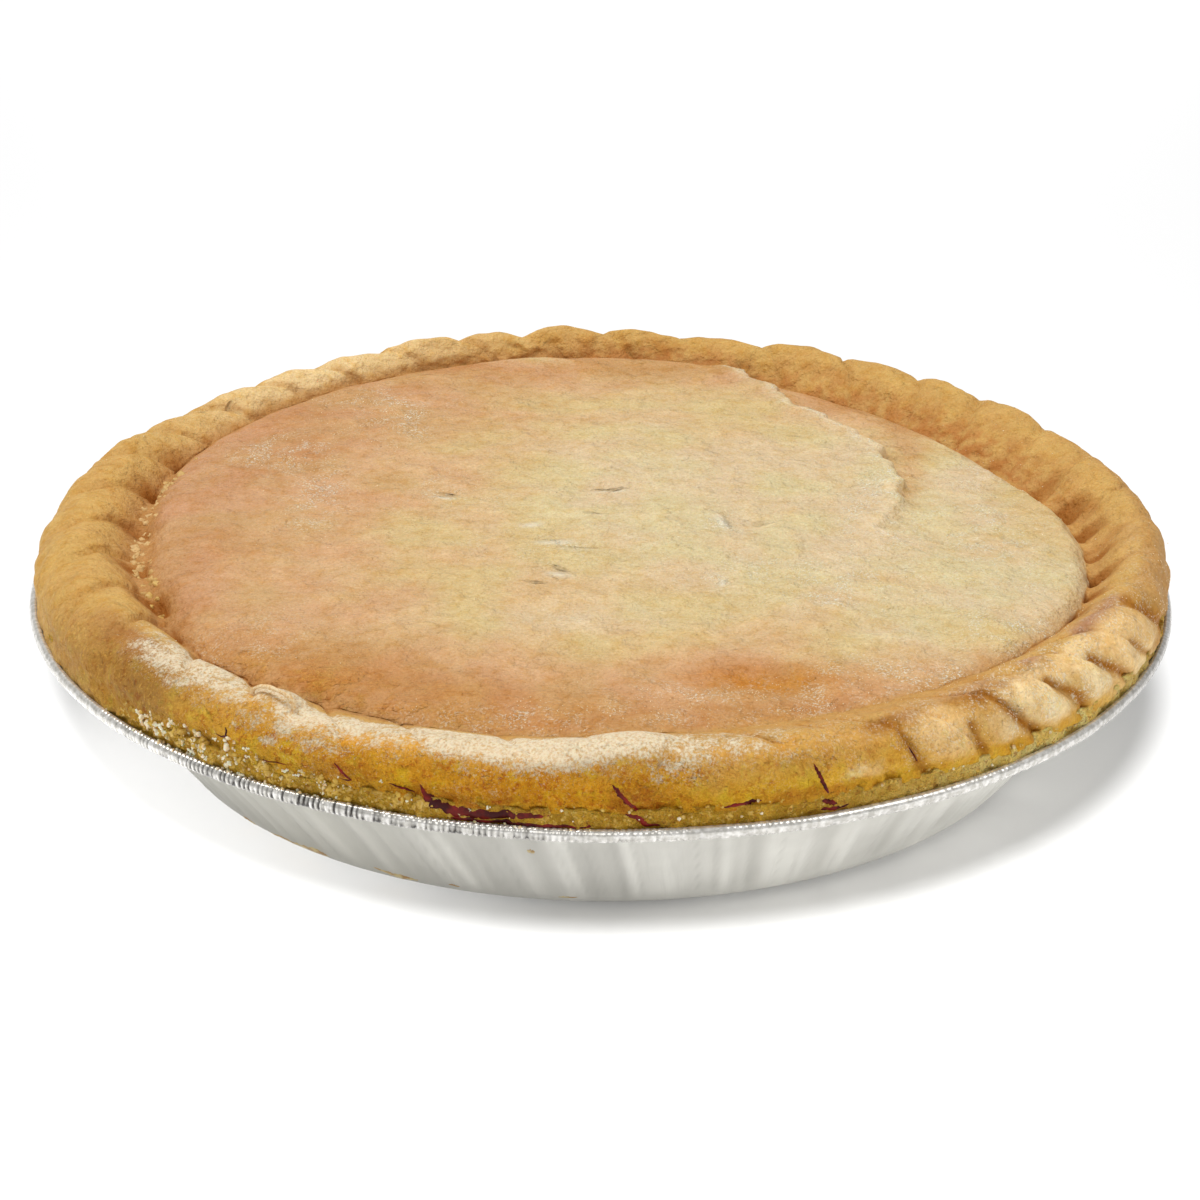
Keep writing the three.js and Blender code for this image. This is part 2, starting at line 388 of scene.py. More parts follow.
note(dish, "wall_run", ring_spots(0.1, slanted, 0.0001 * height), "FLOAT_VECTOR")
# Painted shade and light: the wall is darker in the creases of its pleats, darker on the left and lighter on
# the right.
shaded_side = 0.46 * np.cos(np.radians(angle - 205))
note(dish, "fold_shade", np.where(on_wall, np.clip(0.5 + shaded_side - 0.42 * fold * rises, 0, 1), 0.3))

foil = Nodes("rolled_foil")
run = foil.layer("wall_run").outputs["Vector"]
deep = foil.layer("fold_shade").outputs["Fac"]
streaks = foil.noise(1.8, 3, 0.6, place=run)
bands = foil.noise(7, 2, 0.5, place=run)
smears = foil.noise(16, 3, 0.5)
# A painted shade darkens the wall at the front left.
left_shade = foil.hollow(-60, -75, 0, 58, 58)
tone = foil.mix(foil.ramp(smears, 0.3, 0.7), satin, bright_satin)
# Painted shade in the pleats' creases and on the left side of the wall.
tone = foil.mix(foil.times(foil.ramp(deep, 0.35, 1.0), 0.65), tone, pleat_shade_grey)
tone = foil.mix(foil.times(foil.ramp(streaks, 0.5, 0.75), 0.35), tone, streak_grey)
tone = foil.mix(foil.times(left_shade, 0.6), tone, left_shade_grey)
foil.set(base_color=tone, metallic=0.6, roughness=foil.ramp(bands, -1.1, 1.9))
foil.set(normal=foil.bump(streaks, 0.12, 0.5))
finish_piece(dish, foil.material, "foil", "foil_dish")
foil_only.objects.link(dish)


# ---- Rolled edge of the dish ----
# The foil's rim is curled outwards into a thin roll, and the curling tool leaves it crimped
# across at about every millimetre. It is the same foil, rubbed bright by the tool.
crimp_pitch = 1.02
roll_points = 14
roll_steps = 2800
roll_middle = dish_radius - roll_radius
worn_silver = (0.62, 0.60, 0.55)
bright_silver = (0.95, 0.93, 0.89)
crimp_shade_black = (0.05, 0.045, 0.04)

roll_turns = [2 * math.pi * k / roll_points for k in range(roll_points)] + [0]
roll_section = [
    (roll_middle + roll_radius * math.cos(a), flange_height + roll_radius * math.sin(a)) for a in roll_turns
]
roll, point, angle = turned_piece("rolled_edge", roll_section, roll_steps)
spot = places(roll)
sweep = np.arctan2(spot[:, 2] - flange_height, np.hypot(spot[:, 0], spot[:, 1]) - roll_middle)
loop = around(angle)

# The crimps wander, are pressed in with uneven strength, and are nicked on the under side.
crimps = round(2 * math.pi * roll_middle / crimp_pitch)
wander = 3 * (0.5 * lumps(loop, 9, 11))
ridge = 0.5 + 0.5 * np.cos(np.radians(angle) * crimps + wander + 1.2 * lumps(loop, 2.5, 13))
under_side = blend(0.5, -0.9, np.sin(sweep))
strength = np.clip(0.6 + 0.7 * lumps(loop, 3.1, 12), 0.08, 1.2)
nicks = blend(0.05, 0.55, lumps(loop, 0.62, 16))
crimp_depth = 0.065 + 0.12 * under_side + 0.12 * near(angle, 245, 25)
dent = (1 - ridge) ** 2 * strength * crimp_depth + 0.10 * nicks * (0.3 + 0.7 * under_side)
size = 0.97 * roll_radius - dent
sway = 0.12 * lumps(loop, 16, 14)
height = flange_height + 1.3 * size * np.sin(sweep) + sway
put(roll, ring_spots(roll_middle + size * np.cos(sweep), angle, height))

# Painted shade darkens the crimps in dark bars at the front left, the nicks and the under side, and the roll
# at the right.
bars = near(angle, 243, 21) * blend(0.35, 0.8, 1 - ridge)
bars = bars * blend(-0.5, 0.2, lumps(loop, 1.7, 17)) * blend(-1.4, -0.5, sweep)
shaded = 0.06 + 1.1 * near(angle, 245, 21) + 0.25 * near(angle, 288, 16)
in_nicks = 0.9 * nicks * (0.25 + 0.75 * under_side) + 0.5 * under_side * (0.3 + (1 - ridge))
crimp_shade = 0.95 * bars + 0.3 * near(angle, 338, 16) + shaded * in_nicks
note(roll, "crimp_shade", np.clip(crimp_shade, 0, 1))

bright = Nodes("crimped_foil")
tone = bright.mix(bright.ramp(bright.noise(1.1, 2), 0.35, 0.7), worn_silver, bright_silver)
# Painted shade in the crimps, nicks and under side.
tone = bright.mix(bright.layer("crimp_shade").outputs["Fac"], tone, crimp_shade_black)
bright.set(base_color=tone, metallic=0.6, roughness=0.22)
bright.set(normal=bright.bump(bright.noise(0.35, 2), 0.05, 0.6))
finish_piece(roll, bright.material, "foil")


# ---- Bottom crust ----
# A sheet of shortcrust pastry, rolled out and laid in the dish. Its trimmed edge lies on the
# flange and shows as a thin, crumbly, greasy yellow layer. The rest is covered.
shell_lip = 112.3
shell_reach = 113.1
shell_steps = 1440
crust_gap = 0.3
shell_thickness = 3.0
lip_foot = 28.75
crumb_height = 3.35
olive_gold = (0.50, 0.262, 0.012)
butter_gold = (0.64, 0.35, 0.022)
grain_gold = (0.63, 0.375, 0.05)
fried_spot = (0.46, 0.19, 0.02)
pale_gold = (0.92, 0.62, 0.14)
pale_butter = (0.98, 0.80, 0.30)
crumble_highlight = (0.82, 0.53, 0.12)
crumble_pit_shade = (0.40, 0.17, 0.012)


def rough_edge(angle, height, reach, seed):
    """Torn, crumbly unevenness of a cut pastry edge, in millimetres outwards."""
    spots = around(angle, 112)
    spots[:, 2] = height
    torn = lumps(spots, 3.2, seed) + 0.6 * lumps(spots, 1.3, seed + 1)
    return reach * (torn + 0.5 * lumps(spots, 8, seed + 2))


def seam_open(angle):
    """1 where the seam gapes at the front, 0 where the top crust comes down over it."""
    return blend(216, 229, angle) * blend(352, 338, angle)


def inside_wall(height, clear):
    return wall_radius(height) - across(clear), height


from_foil = foil_thickness + crust_gap
inner_face = from_foil + shell_thickness
shell_section = [(0, 0.9), (40, 0.9), (83.6, 0.9), inside_wall(3, from_foil)]
shell_section += [(wall_radius(28.7) - across(from_foil), lip_foot), (110.6, lip_foot)]
for z in [lip_foot + crumb_height * k / 9 for k in range(10)]:
    shell_section.append((shell_lip + 0.2 - 0.07 * (z - 31.0) ** 2 - 0.3 * max(0, 29.4 - z), z))
shell_section += [(109, 32.2), inside_wall(32.2, inner_face)]
shell_section += [inside_wall(3.9, inner_face), (40, 3.9), (0, 3.9)]
shell, point, angle = turned_piece("bottom_pastry", shell_section, shell_steps)
section = np.array(shell_section)
radius, height = section[point, 0], section[point, 1]
lip = (radius > 110.7) & (height > 28.8)
open_front = seam_open(angle)
rough = rough_edge(angle, height, 0.45, 21)
radius = radius + np.where(lip, rough - 0.8 * (1 - open_front), 0)
radius = np.where(lip, np.minimum(radius, shell_reach), radius)
loop = around(angle)
raised = 0.75 + 0.6 * lumps(loop, 5, 24) + 0.3 * lumps(loop, 1.6, 25)
height = height + np.where(lip, blend(29.4, 32, height) * raised * open_front, 0)
put(shell, ring_spots(radius, angle, height))

greasy = Nodes("greasy_pastry")
blotch = greasy.noise(5, 4)
grain = greasy.noise(0.9, 3, 0.6)
crumble = greasy.noise(1.5, 4, 0.72)
at_right = greasy.hollow(86, -78, 0, 62, 62)
paler = greasy.mix(greasy.ramp(blotch, 0.4, 0.6), pale_gold, pale_butter)
tone = greasy.mix(greasy.ramp(blotch, 0.35, 0.65), olive_gold, butter_gold)
# The last two wash the crumbly bumps lighter where they stand high and darker in their pits: painted
# highlight and painted shade.
for amount, share, over in [
    (greasy.ramp(grain, 0.5, 0.72), 0.7, grain_gold),
    (greasy.ramp(greasy.noise(2.2, 3), 0.6, 0.74), None, fried_spot),
    (at_right, 0.9, paler),
    (greasy.ramp(crumble, 0.53, 0.66), 0.85, crumble_highlight),
    (greasy.ramp(crumble, 0.47, 0.36), 0.8, crumble_pit_shade),
]:
    tone = greasy.mix(greasy.times(amount, share) if share else amount, tone, over)
greasy.set(base_color=tone, roughness=0.6, specular=0.25, subsurface_weight=0.12, subsurface_scale=0.004)
greasy.set(normal=greasy.bump(grain, 0.5, 0.9, greasy.bump(crumble, 2.4, 1.0)))
finish_piece(shell, greasy.material, "bottom_crust", "bottom_crust")


# ---- Filling ----
# Cooked apple in thick juice, all hidden between the crusts. Only the juice shows, where it has
# boiled out at the front seam and dried there, sticky and dark red.
dark_juice = (0.045, 0.003, 0.003)
wine_juice = (0.23, 0.016, 0.010)

sticky = Nodes("boiled_juice")
juice_tone = sticky.mix(sticky.ramp(sticky.noise(2.5, 3), 0.35, 0.7), dark_juice, wine_juice)
sticky.set(base_color=juice_tone, roughness=0.34, specular=0.16)
sticky.set(normal=sticky.bump(sticky.noise(1.2, 2), 0.15, 0.5))
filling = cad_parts["filling"]
filling.data.materials.clear()
filling.data.materials.append(sticky.material)


# ---- Top crust ----
# A second sheet of the same pastry over the filling. Its edge is folded and crimped by hand into
# a thick rope of pillows between slanting furrows. The lid has risen unevenly, with a lower
# shelf on the right, and has browned most where it stands high and along its edge.
crimp_count = 41
crimp_lean = 9
rim_middle = 98.5
lid_top = 42
rim_reach = 113.7
highest = 45.85
crust_steps = 860
rows_between = 9
valley_row_count = 4
furrow_width = 0.85
degree_length = 1.95


def sum_near(angle, changes):
    return sum(amount * near(angle, at, width) for amount, at, width in changes)


def oval(x, y, reach_x, reach_y, power=2):
    """1 in the middle of an oval, from the distances along x and y to its middle."""
    return np.exp(-np.abs(x / reach_x) ** power - np.abs(y / reach_y) ** power)


def lid_edge(angle):
    return 40 + 0.9 * near(angle, 70, 55) - 1.3 * near(angle, 185, 45)


def step_line(y):
    """How far to the right the high part of the lid reaches, from the front of the step to the back."""
    turns = [
        (-40, 71), (-24, 67), (-15, 60), (-7, 56), (2, 58), (14, 62.5), (31, 61.5), (49, 55), (61, 46.4),
        (78, 38), (94, 30.7),
    ]
    along, out = np.array(turns).T
    wander = 0.9 * np.sin(y / 2.9) + 0.6 * np.sin(y / 1.6 + 2) + 0.6 * np.sin(y / 6.3 + 1)
    wander = wander + 0.3 * np.sin(y / 0.75)
    return np.interp(y, along, out) + wander * blend(-20, 0, y)


def lid_height(radius, angle):
    x = radius * np.cos(np.radians(angle))
    y = radius * np.sin(np.radians(angle))
    dome = (lid_top - lid_edge(angle)) * (radius / rim_middle) ** 2.5
    past = blend(-0.35, 0.85, x - step_line(y))
    brink = 0.45 * bell(x - step_line(y) + 2.6, 2.8) * blend(-34, -16, y)
    waves = 0.35 * np.sin(x / 17 + 1) * np.cos(y / 21)
    drop = (1.0 + 1.8 * blend(-10, 42, y)) * past * blend(-34, -14, y)
    return lid_top - dome - drop + brink + waves


# Hollows and small dents in the lid: place, reach along x and y, and depth. A negative depth
# is a swelling.
lid_dents = [
    (2, 11.3, 6.5, 1.0, 0.6), (-2, 6, 5, 4, 0.25), (-1, -2.6, 3.5, 1.0, 0.35), (-3, -20, 4.5, 1.1, 0.5),
    (-8, -31, 3.0, 1.2, 0.45), (-13, -37, 4.0, 1.4, 0.45), (-31, 9, 3, 2.0, 0.4), (30, -5, 5, 4, 1.0),
    (24, -6, 2.4, 7, -0.35), (23, -36, 3, 3, 0.4), (29, -77, 9, 3.6, 1.0), (49, -88, 9, 2.0, 0.9),
    (40, -95, 8, 3, 0.6), (56, -33, 7, 2.6, 0.4), (50, -55, 4, 2.5, 0.6), (-16, 96, 9, 3.5, -0.5),
    (-66, 4, 3, 9, 0.25), (-46, 52, 3, 14, -0.3), (10, 40, 20, 16, -0.3), (72, -52, 4, 9, -0.6),
    (-38, -62, 16, 8, -0.35), (-55, -20, 7, 20, 0.25), (48, -10, 3, 9, 0.4), (-20, 62, 12, 14, 0.25),
    (-10, -24, 9, 1.6, -0.3), (0, 14.5, 8, 1.6, -0.25), (64, -60, 3, 5, 0.5), (57, -47, 6, 1.6, 0.4),
]
dent_depth = 1.5


def lid_detail(x, y):
    change = np.zeros_like(x)
    for at_x, at_y, reach_x, reach_y, depth in lid_dents:
        change -= dent_depth * depth * oval(x - at_x, y - at_y, reach_x, reach_y)
    return change


# How the rim's foot, depth, crest and height change round the pie: amount, bearing and width.
foot_changes = [(-4.5, 190, 36), (4.3, 96, 34), (-5.6, 36, 29), (0.8, 355, 26), (-1, 205, 6)]
depth_changes = [(1.2, 0, 50), (1.4, 190, 40), (-1.7, 294, 30)]
crest_changes = [(-3.5, 200, 42), (-0.8, 30, 30), (-1.2, 238, 10), (-2.2, 320, 22)]
height_changes = [
    (2.2, 101, 28), (1.3, 62, 22), (-1.4, 148, 14), (-0.9, 186, 20), (0.8, 164, 7), (-1.0, 232, 7),
    (0.6, 237, 2.5), (-2.0, 241, 2.2), (-0.6, 247, 2), (-0.7, 257, 16), (2.0, 272.5, 4.5), (-0.4, 305, 24),
    (-1.3, 245, 4.0), (-0.7, 249, 4), (-0.5, 262, 7), (0.4, 229, 3), (-0.5, 85, 60),
]


def rim_places(angle):
    """The foot inside, the crest, the bulge and the lip of the rim, each as radius and height."""
    covered = 1 - seam_open(angle)
    foot = rim_middle + sum_near(angle, foot_changes)
    depth = 1.3 + sum_near(angle, depth_changes)
    lip_height = 31.9 - 2.7 * covered - 0.8 * near(angle, 325, 16) + 0.3 * lumps(around(angle), 6, 41)
    return {
        "foot": (foot, lid_height(foot, angle) - depth),
        "crest": (107.8 + sum_near(angle, crest_changes), 42.4 + sum_near(angle, height_changes)),
        "bulge": (112.4 + 0 * angle, 36.8 + 0 * angle),
        "lip": (112.3 + 0.3 * covered, lip_height),
    }


# Rows over the rim from the lip to the foot: the two places it lies between, the share of the way
# outwards and upwards, the lean of the furrows, which way the dough faces there (in degrees from
# level), how far the pillows swell, and how deep the furrows between them are.
rim_rows = [
    ("lip", "bulge", 0, 0, 1, 0, 0.3, 0.3), ("lip", "bulge", 0.6, 0.45, 0.93, 0, 1.1, 0.7),
    ("bulge", "crest", 0, 0, 0.85, 8, 1.5, 1.0), ("bulge", "crest", 0.4, 0.7, 0.7, 45, 1.5, 0.9),
    ("crest", "foot", 0, 0, 0.55, 88, 1.5, 1.1), ("crest", "foot", 0.5, 0.24, 0.3, 115, 1.2, 1.0),
    ("crest", "foot", 1, 1, 0.08, 135, 0.7, 1.2),
]
rim_spans = len(rim_rows) - 1
rim_row_count = rows_between * rim_spans + 1
inner_rows = 42
lid_rows = [0.4, 0.9, 1.5, 2.2, 3.0, 4.0, 5.2]
lid_rows += [6.5 + 92 * (k / inner_rows) for k in range(inner_rows)]
lid_shares = [1 - row / rim_middle for row in lid_rows]

# The section as it is first drawn, before the crimps are pressed in.
rise = [(111.2, 33.4), (112, 35), (112.6, 36.8), (110.7, 40.8), (107.8, 42.6), (103, 41), (98.5, 39)]
crust_section = [(0, 37.5), (40, 37), (72, 35.4), (104, 33.0), (109.5, 32.8)]
first_rim = len(crust_section)
for (r0, z0), (r1, z1) in zip(rise, rise[1:]):
    for k in range(rows_between):
        crust_section.append((r0 + (r1 - r0) * k / rows_between, z0 + (z1 - z0) * k / rows_between))
crust_section += [rise[-1]] + [(98.4 - 0.1 * k, 38.9) for k in range(valley_row_count)]
crust_section += [(97.9 * share, lid_top - 3 * share) for share in lid_shares] + [(0, 42.01)]
crust, point, drawn = turned_piece("top_pastry", crust_section, crust_steps)
first_valley = first_rim + rim_row_count
first_lid = first_valley + valley_row_count
is_under = point < first_rim
is_rim = (point >= first_rim) & (point < first_valley)
is_valley = (point >= first_valley) & (point < first_lid)
is_lid = point >= first_lid

# The turns lie closer together at the front. The crimps are even in turn, but crowd together on
# one side of the pie.
turn = drawn - 14 * np.sin(np.radians(drawn - 270))
crowd = np.radians(turn - 295)
even = turn + 7.8 - 11 * (np.sin(crowd) + 0.4 * np.sin(2 * crowd))
even = even - 3.0 * near(even, 298, 9)
phase = (turn % 360) * crimp_count / 360 + 0.10 * lumps(around(turn), 9, 31)
along = phase - np.floor(phase)
bulk = 1 + 0.28 * np.sin(2.4 * np.floor(phase)) + 0.12 * np.sin(5.1 * np.floor(phase))
round_top = np.abs(np.sin(math.pi * (1 - (1 - along) ** 0.8))) ** 0.75
pillow = bulk * round_top - 0.66
from_furrow = np.minimum(along, 1 - along) * 360 / crimp_count * 1.92
cut = bell(from_furrow, furrow_width) * (0.75 + 0.5 * lumps(around(turn), 7, 43))

# Where the crimps are pressed less, inside, outside and over the crest: amount, bearing, width.
calm_inside_at = [(0.65, 258, 34), (0.5, 300, 20), (0.3, 185, 18), (0.2, 80, 40), (0.5, 3, 24)]
calm_crest_at = [
    (0.2, 72, 15), (-0.3, 106, 9), (0.65, 255, 30), (0.2, 200, 14), (0.35, 0, 28), (0.3, 322, 20),
]
calm_outside_at = [(0.2, 238, 26), (0.2, 10, 30)]


def rim_surface(step, even, pillow, cut):
    """Radius, angle and height of each vertex on the rim. Step is 0 at the lip and 1 at the foot."""
    spread = step * rim_spans
    low = np.clip(np.floor(spread), 0, rim_spans - 1).astype(int)
    t = spread - low
    leans = np.array([row[4] for row in rim_rows])
    lean = (1 - t) * leans[low] + t * leans[low + 1]
    angle = even + crimp_lean * lean + 6 * near(even, 316, 24) * (lean - 0.8)
    rim = rim_places(angle)
    front_right = near(angle, 318, 22)
    calm_inside = 0.15 + sum_near(angle, calm_inside_at)
    calm_outside = 0.6 - 0.3 * front_right + sum_near(angle, calm_outside_at)
    calm_crest = 0.1 + sum_near(angle, calm_crest_at)
    sharp_outside = 0.12 + 0.9 * front_right + 0.4 * near(angle, 165, 40)
    sharp_inside = 1 - 0.2 * near(angle, 70, 48)
    at_back = near(angle, 80, 65)
    radii, heights = [], []
    for number, (start, end, share_out, share_up, _, facing, swell, furrow) in enumerate(rim_rows):
        calm = calm_crest if number == 4 else calm_inside if number > 4 else calm_outside
        sharp = sharp_outside if number < 4 else sharp_inside
        swell = swell * (1 + (0.5 if number in (3, 4) else 0) * at_back)
        push = swell * (1 - calm) * pillow - furrow * sharp * (1 - 0.6 * calm) * cut
        facing = math.radians(facing)
        (r0, z0), (r1, z1) = rim[start], rim[end]
        radii.append(r0 + share_out * (r1 - r0) + math.cos(facing) * push)
        heights.append(z0 + share_up * (z1 - z0) + math.sin(facing) * push)
    pick = np.arange(len(step))

    def smooth(values):
        values = np.array(values)
        before, a = values[np.maximum(low - 1, 0), pick], values[low, pick]
        b, after = values[low + 1, pick], values[np.minimum(low + 2, rim_spans), pick]
        bend = (2 * before - 5 * a + 4 * b - after) * t**2 + (3 * a - before - 3 * b + after) * t**3
        return 0.5 * (2 * a + (b - before) * t + bend)

    return smooth(radii), angle, smooth(heights), lean


# Pockets in the valley between the rim and the lid: bearing, reach and depth.
pockets = [
    (8, 1.7, 4.4), (1, 1.3, 3.0), (353.5, 1.2, 1.4), (346.5, 1.6, 3.8), (340.5, 1.2, 1.6), (16, 1.8, 1.2),
    (26, 2, 0.8), (204.5, 2.4, 3.0), (193, 2.2, 1.4), (181, 2.6, 1.2), (169, 2.2, 1.4), (159, 2, 1.0),
    (214, 2.4, 1.4), (334, 2, 1.4),
]


def valley_width(angle):
    return 0.5 + sum_near(angle, [(2.2, 357, 15), (1.8, 20, 12), (3.4, 186, 20), (1.8, 206, 7)])


def gather_rows(radius, angle):
    """Draws the rows of the lid closer together along the step, so that its edge comes out crisp."""
    y = np.linspace(-30, 90, 400)
    at_angle = np.maximum.accumulate(np.degrees(np.arctan2(y, step_line(y))))
    signed = (angle + 180) % 360 - 180
    past_step = radius - np.interp(signed, at_angle, np.hypot(y, step_line(y)))
    share = 0.72 * blend(-22, -14, signed) * blend(70, 62, signed)
    return radius - past_step * share * bell(past_step, 7.5)


flat = np.array(crust_section)
step = np.clip((point - first_rim) / (rim_row_count - 1), 0, 1)
radius, angle, height, lean = rim_surface(step, even, pillow, cut)
shift = 0.4 * np.clip(4 * lean - 0.32, 0, 1)
pocket_depth = sum(depth * near(angle, at, reach) for at, reach, depth in pockets)
low_inside = is_rim * blend(0.80, 1.0, step)
radius = radius + 0.2 * pocket_depth * low_inside
height = height - 0.15 * pocket_depth * low_inside
foot_radius, foot_height = radius.copy(), height.copy()
valley_step = (point - first_valley + 1) / (valley_row_count + 1)
radius = np.where(is_valley, foot_radius - valley_step * valley_width(angle), radius)
dip = np.sin(math.pi * np.clip(valley_step, 0, 1)) ** 0.7
valley_depth = 0.25 - 0.2 * near(angle, 252, 25) + pocket_depth
height = np.where(is_valley, foot_height - valley_depth * dip, height)

shares = np.array(lid_shares + [0.0])
share = shares[np.clip(point - first_lid, 0, len(shares) - 1)]
edge_radius = foot_radius - valley_width(angle)
lid_radius = gather_rows(share * edge_radius / lid_shares[0], angle)
sink = np.minimum(foot_height - lid_height(foot_radius, angle), -0.2)
from_edge = (1 - lid_radius / edge_radius) * edge_radius
bulging = near(angle, 350, 35)
drop = np.exp(-((from_edge + 0.4) / (2.6 - 0.8 * bulging)) ** (1.4 + 0.6 * bulging))
radius = np.where(is_lid, lid_radius, radius)
height = np.where(is_lid, lid_height(lid_radius, angle) + sink * drop, height)

radius[is_under] = flat[point[is_under], 0]
angle[is_under] = even[is_under] + crimp_lean
closed_under = 32.0 - 2.8 * (1 - seam_open(angle))
under_height = np.where(point == first_rim - 1, closed_under, flat[np.minimum(point, 4), 1])
height[is_under] = under_height[is_under]

heading = np.radians(angle)
spot = ring_spots(radius, angle, height)
spot[:, 0] += shift
spot[is_lid, 2] += lid_detail(spot[is_lid, 0], spot[is_lid, 1])

# Unevenness of the dough: soft lumps all over, finer on the rim.
broad = lumps(spot, 13, 33)
middle = lumps(spot, 5, 34)
fine = lumps(spot, 2.2, 35)
rim_share = np.where(is_rim | is_valley, 1.0, 0.0)
rough = 0.30 * broad * (1 - 0.55 * rim_share) + (0.13 + 0.07 * rim_share) * middle + 0.06 * fine
spot[:, 2] += ~is_under * rough
low_face = is_rim * blend(0.45, 0.1, step) * near(angle, 268, 60)
ragged = is_rim * blend(0.72, 0.9, step) * (near(angle, 45, 45) + near(angle, 110, 30))
push = is_rim * (0.30 * middle + 0.14 * fine + 0.28 * broad)
finest = lumps(spot, 1.3, 39)
push += (low_face * 0.4 + ragged * 0.35) * fine + (low_face * 0.3 + ragged * 0.3) * finest
bearing = np.degrees(np.arctan2(spot[:, 1], spot[:, 0])) % 360
face = blend(0.72, 0.62, step) * is_rim
blotches = lumps(spot, 8, 37)
face_run = np.stack([(bearing + 0.2 * blotches) * degree_length, spot[:, 2]], -1)


def along_line(course, width):
    """1 on a line of bearings and heights over the outer face, falling off within its width."""
    nearest = np.full(len(face_run), 99.0)
    for (start_bearing, start_height), (end_bearing, end_height) in zip(course, course[1:]):
        start = np.array((start_bearing * degree_length, start_height))
        way = np.array((end_bearing * degree_length, end_height)) - start
        share = np.clip((face_run - start) @ way / (way @ way), 0, 1)
        gap = np.linalg.norm(face_run - start - share[:, None] * way, axis=1)
        nearest = np.minimum(nearest, gap)
    return bell(nearest, width)


# Slanting grooves pressed in at the front right: width, depth, how dark the butter has browned in
# them, and their course. The dough swells between them.
grooves = [
    (0.9, 0.5, 0.8, [(294.5, 43), (297.5, 41), (298.5, 36), (299.5, 33)]),
    (0.7, 0.6, 0.85, [(305, 39), (305.5, 36), (306.5, 33.5)]),
    (1.2, 1.1, 1.0, [(304.5, 43), (308.5, 41.5), (310, 38.5), (311.5, 35.5), (313, 33)]),
    (0.9, 0.9, 0.95, [(316.4, 39.8), (317.2, 38.6), (318.8, 37), (320, 34), (320.5, 32.5)]),
    (1.0, 1.0, 1.0, [(323.6, 39.6), (324.5, 38.5), (327, 35.5), (329, 33), (331, 30.5)]),
    (0.6, 0.4, 0.7, [(331, 38.5), (333, 35), (336, 32)]),
    (1.9, 1.0, 0.95, [(336, 42), (337.2, 39.5), (340, 35.5), (343, 32.5), (347, 29.5)]),
]
for width, depth, _, course in grooves:
    push -= depth * face * along_line(course, width)
for at_bearing in (302, 310.5, 315.2, 322.6, 327.8, 334):
    push += 0.6 * face * near(bearing, at_bearing, 2.4) * bell(spot[:, 2] - 37.5, 3.4, 4)
spot[:, 0] += push * np.cos(heading)
spot[:, 1] += push * np.sin(heading)
reach = np.hypot(spot[:, 0], spot[:, 1])
spot[:, :2] *= np.minimum(1, rim_reach / np.maximum(reach, 1))[:, None]
spot[:, 2] = np.minimum(spot[:, 2], highest)
put(crust, spot)

# Colours of the baked dough, laid on the piece as a soft wash. First those of the lid.
cream = (0.680, 0.570, 0.355)
pale = (0.660, 0.500, 0.265)
toast = (0.610, 0.382, 0.192)
brown = (0.520, 0.268, 0.102)
rosy = (0.575, 0.335, 0.185)
fried = (0.560, 0.230, 0.014)
torn_cream_and_highlight = (0.78, 0.67, 0.43)
step_shadow_brown = (0.50, 0.30, 0.115)
# Those of the rim, from above and from inside.
tan = (0.615, 0.374, 0.112)
honey = (0.590, 0.325, 0.098)
pale_and_lit_tan = (0.840, 0.620, 0.320)
furrow_brown = (0.420, 0.180, 0.040)
pocket_shade_brown = (0.330, 0.110, 0.010)
foot_brown = (0.450, 0.215, 0.075)
fringe_brown = (0.440, 0.150, 0.030)
# Those of the outer face.
amber = (0.800, 0.360, 0.006)
gold = (0.740, 0.410, 0.020)
rust = (0.460, 0.160, 0.009)
mustard = (0.640, 0.335, 0.018)
shade = (0.350, 0.180, 0.046)
plum = (0.370, 0.160, 0.050)
biscuit = (0.610, 0.350, 0.115)
sandy = (0.890, 0.610, 0.285)
ivory = (0.940, 0.730, 0.410)
baked_side = (0.530, 0.285, 0.092)
groove_gold = (0.560, 0.300, 0.050)
groove_brown = (0.380, 0.140, 0.006)
blush = (0.470, 0.245, 0.130)
buttered = (0.560, 0.300, 0.085)


def wash(colour, over, amount):
    amount = np.clip(amount, 0, 1)[:, None]
    return colour * (1 - amount) + np.array(over) * amount


def towards_valley(start, end):
    """1 in the valley, falling off up the inside of the rim."""
    return np.where(is_valley, 1.0, blend(start, end, step))


x, y, z = spot.T
bearing = np.degrees(np.arctan2(y, x)) % 360
out_from_middle = np.hypot(x, y)
patches = lumps(spot, 24, 36)
freckles = lumps(spot, 3, 38)
specks = lumps(spot, 1.4, 44)

# How pale the lid is: palest in the middle and on the right, browner towards the other edges.
side = np.where(x < 25, bell(x - 25, 78), bell(x - 25, 120, 3))
length = np.where(y > 0, bell(y, 86, 3), bell(y, 74, 3))
paleness = side * length + 0.10 * patches + 0.07 * blotches + 0.04 * freckles
# Patches on the lid: place, reach and change in paleness.
pale_patches = [
    (29, -76, 11, 4.5, -0.7), (56, -33, 8, 4, -0.3), (-17, 96, 9, 5, 0.45), (-60, -30, 12, 12, 0.22),
    (-60, 30, 10, 16, -0.1), (75, 35, 12, 18, 0.1), (80, -30, 10, 20, 0.05), (55, -62, 14, 10, 0.3),
    (66, 58, 8, 18, -0.5), (54, 74, 9, 9, -0.4), (66, 36, 3.0, 14, -0.45), (40, -92, 18, 6, -0.2),
    (-84, -45, 8, 30, -0.2), (28, -4, 8, 6, -0.05), (-72, 62, 10, 14, -0.1), (88, 10, 5, 22, -0.2),
    (-30, -84, 22, 8, -0.15), (-6, -54, 26, 10, 0.35), (72, -40, 16, 14, 0.25), (10, 88, 26, 8, -0.15),
    (-42, 50, 14, 12, -0.12),
]
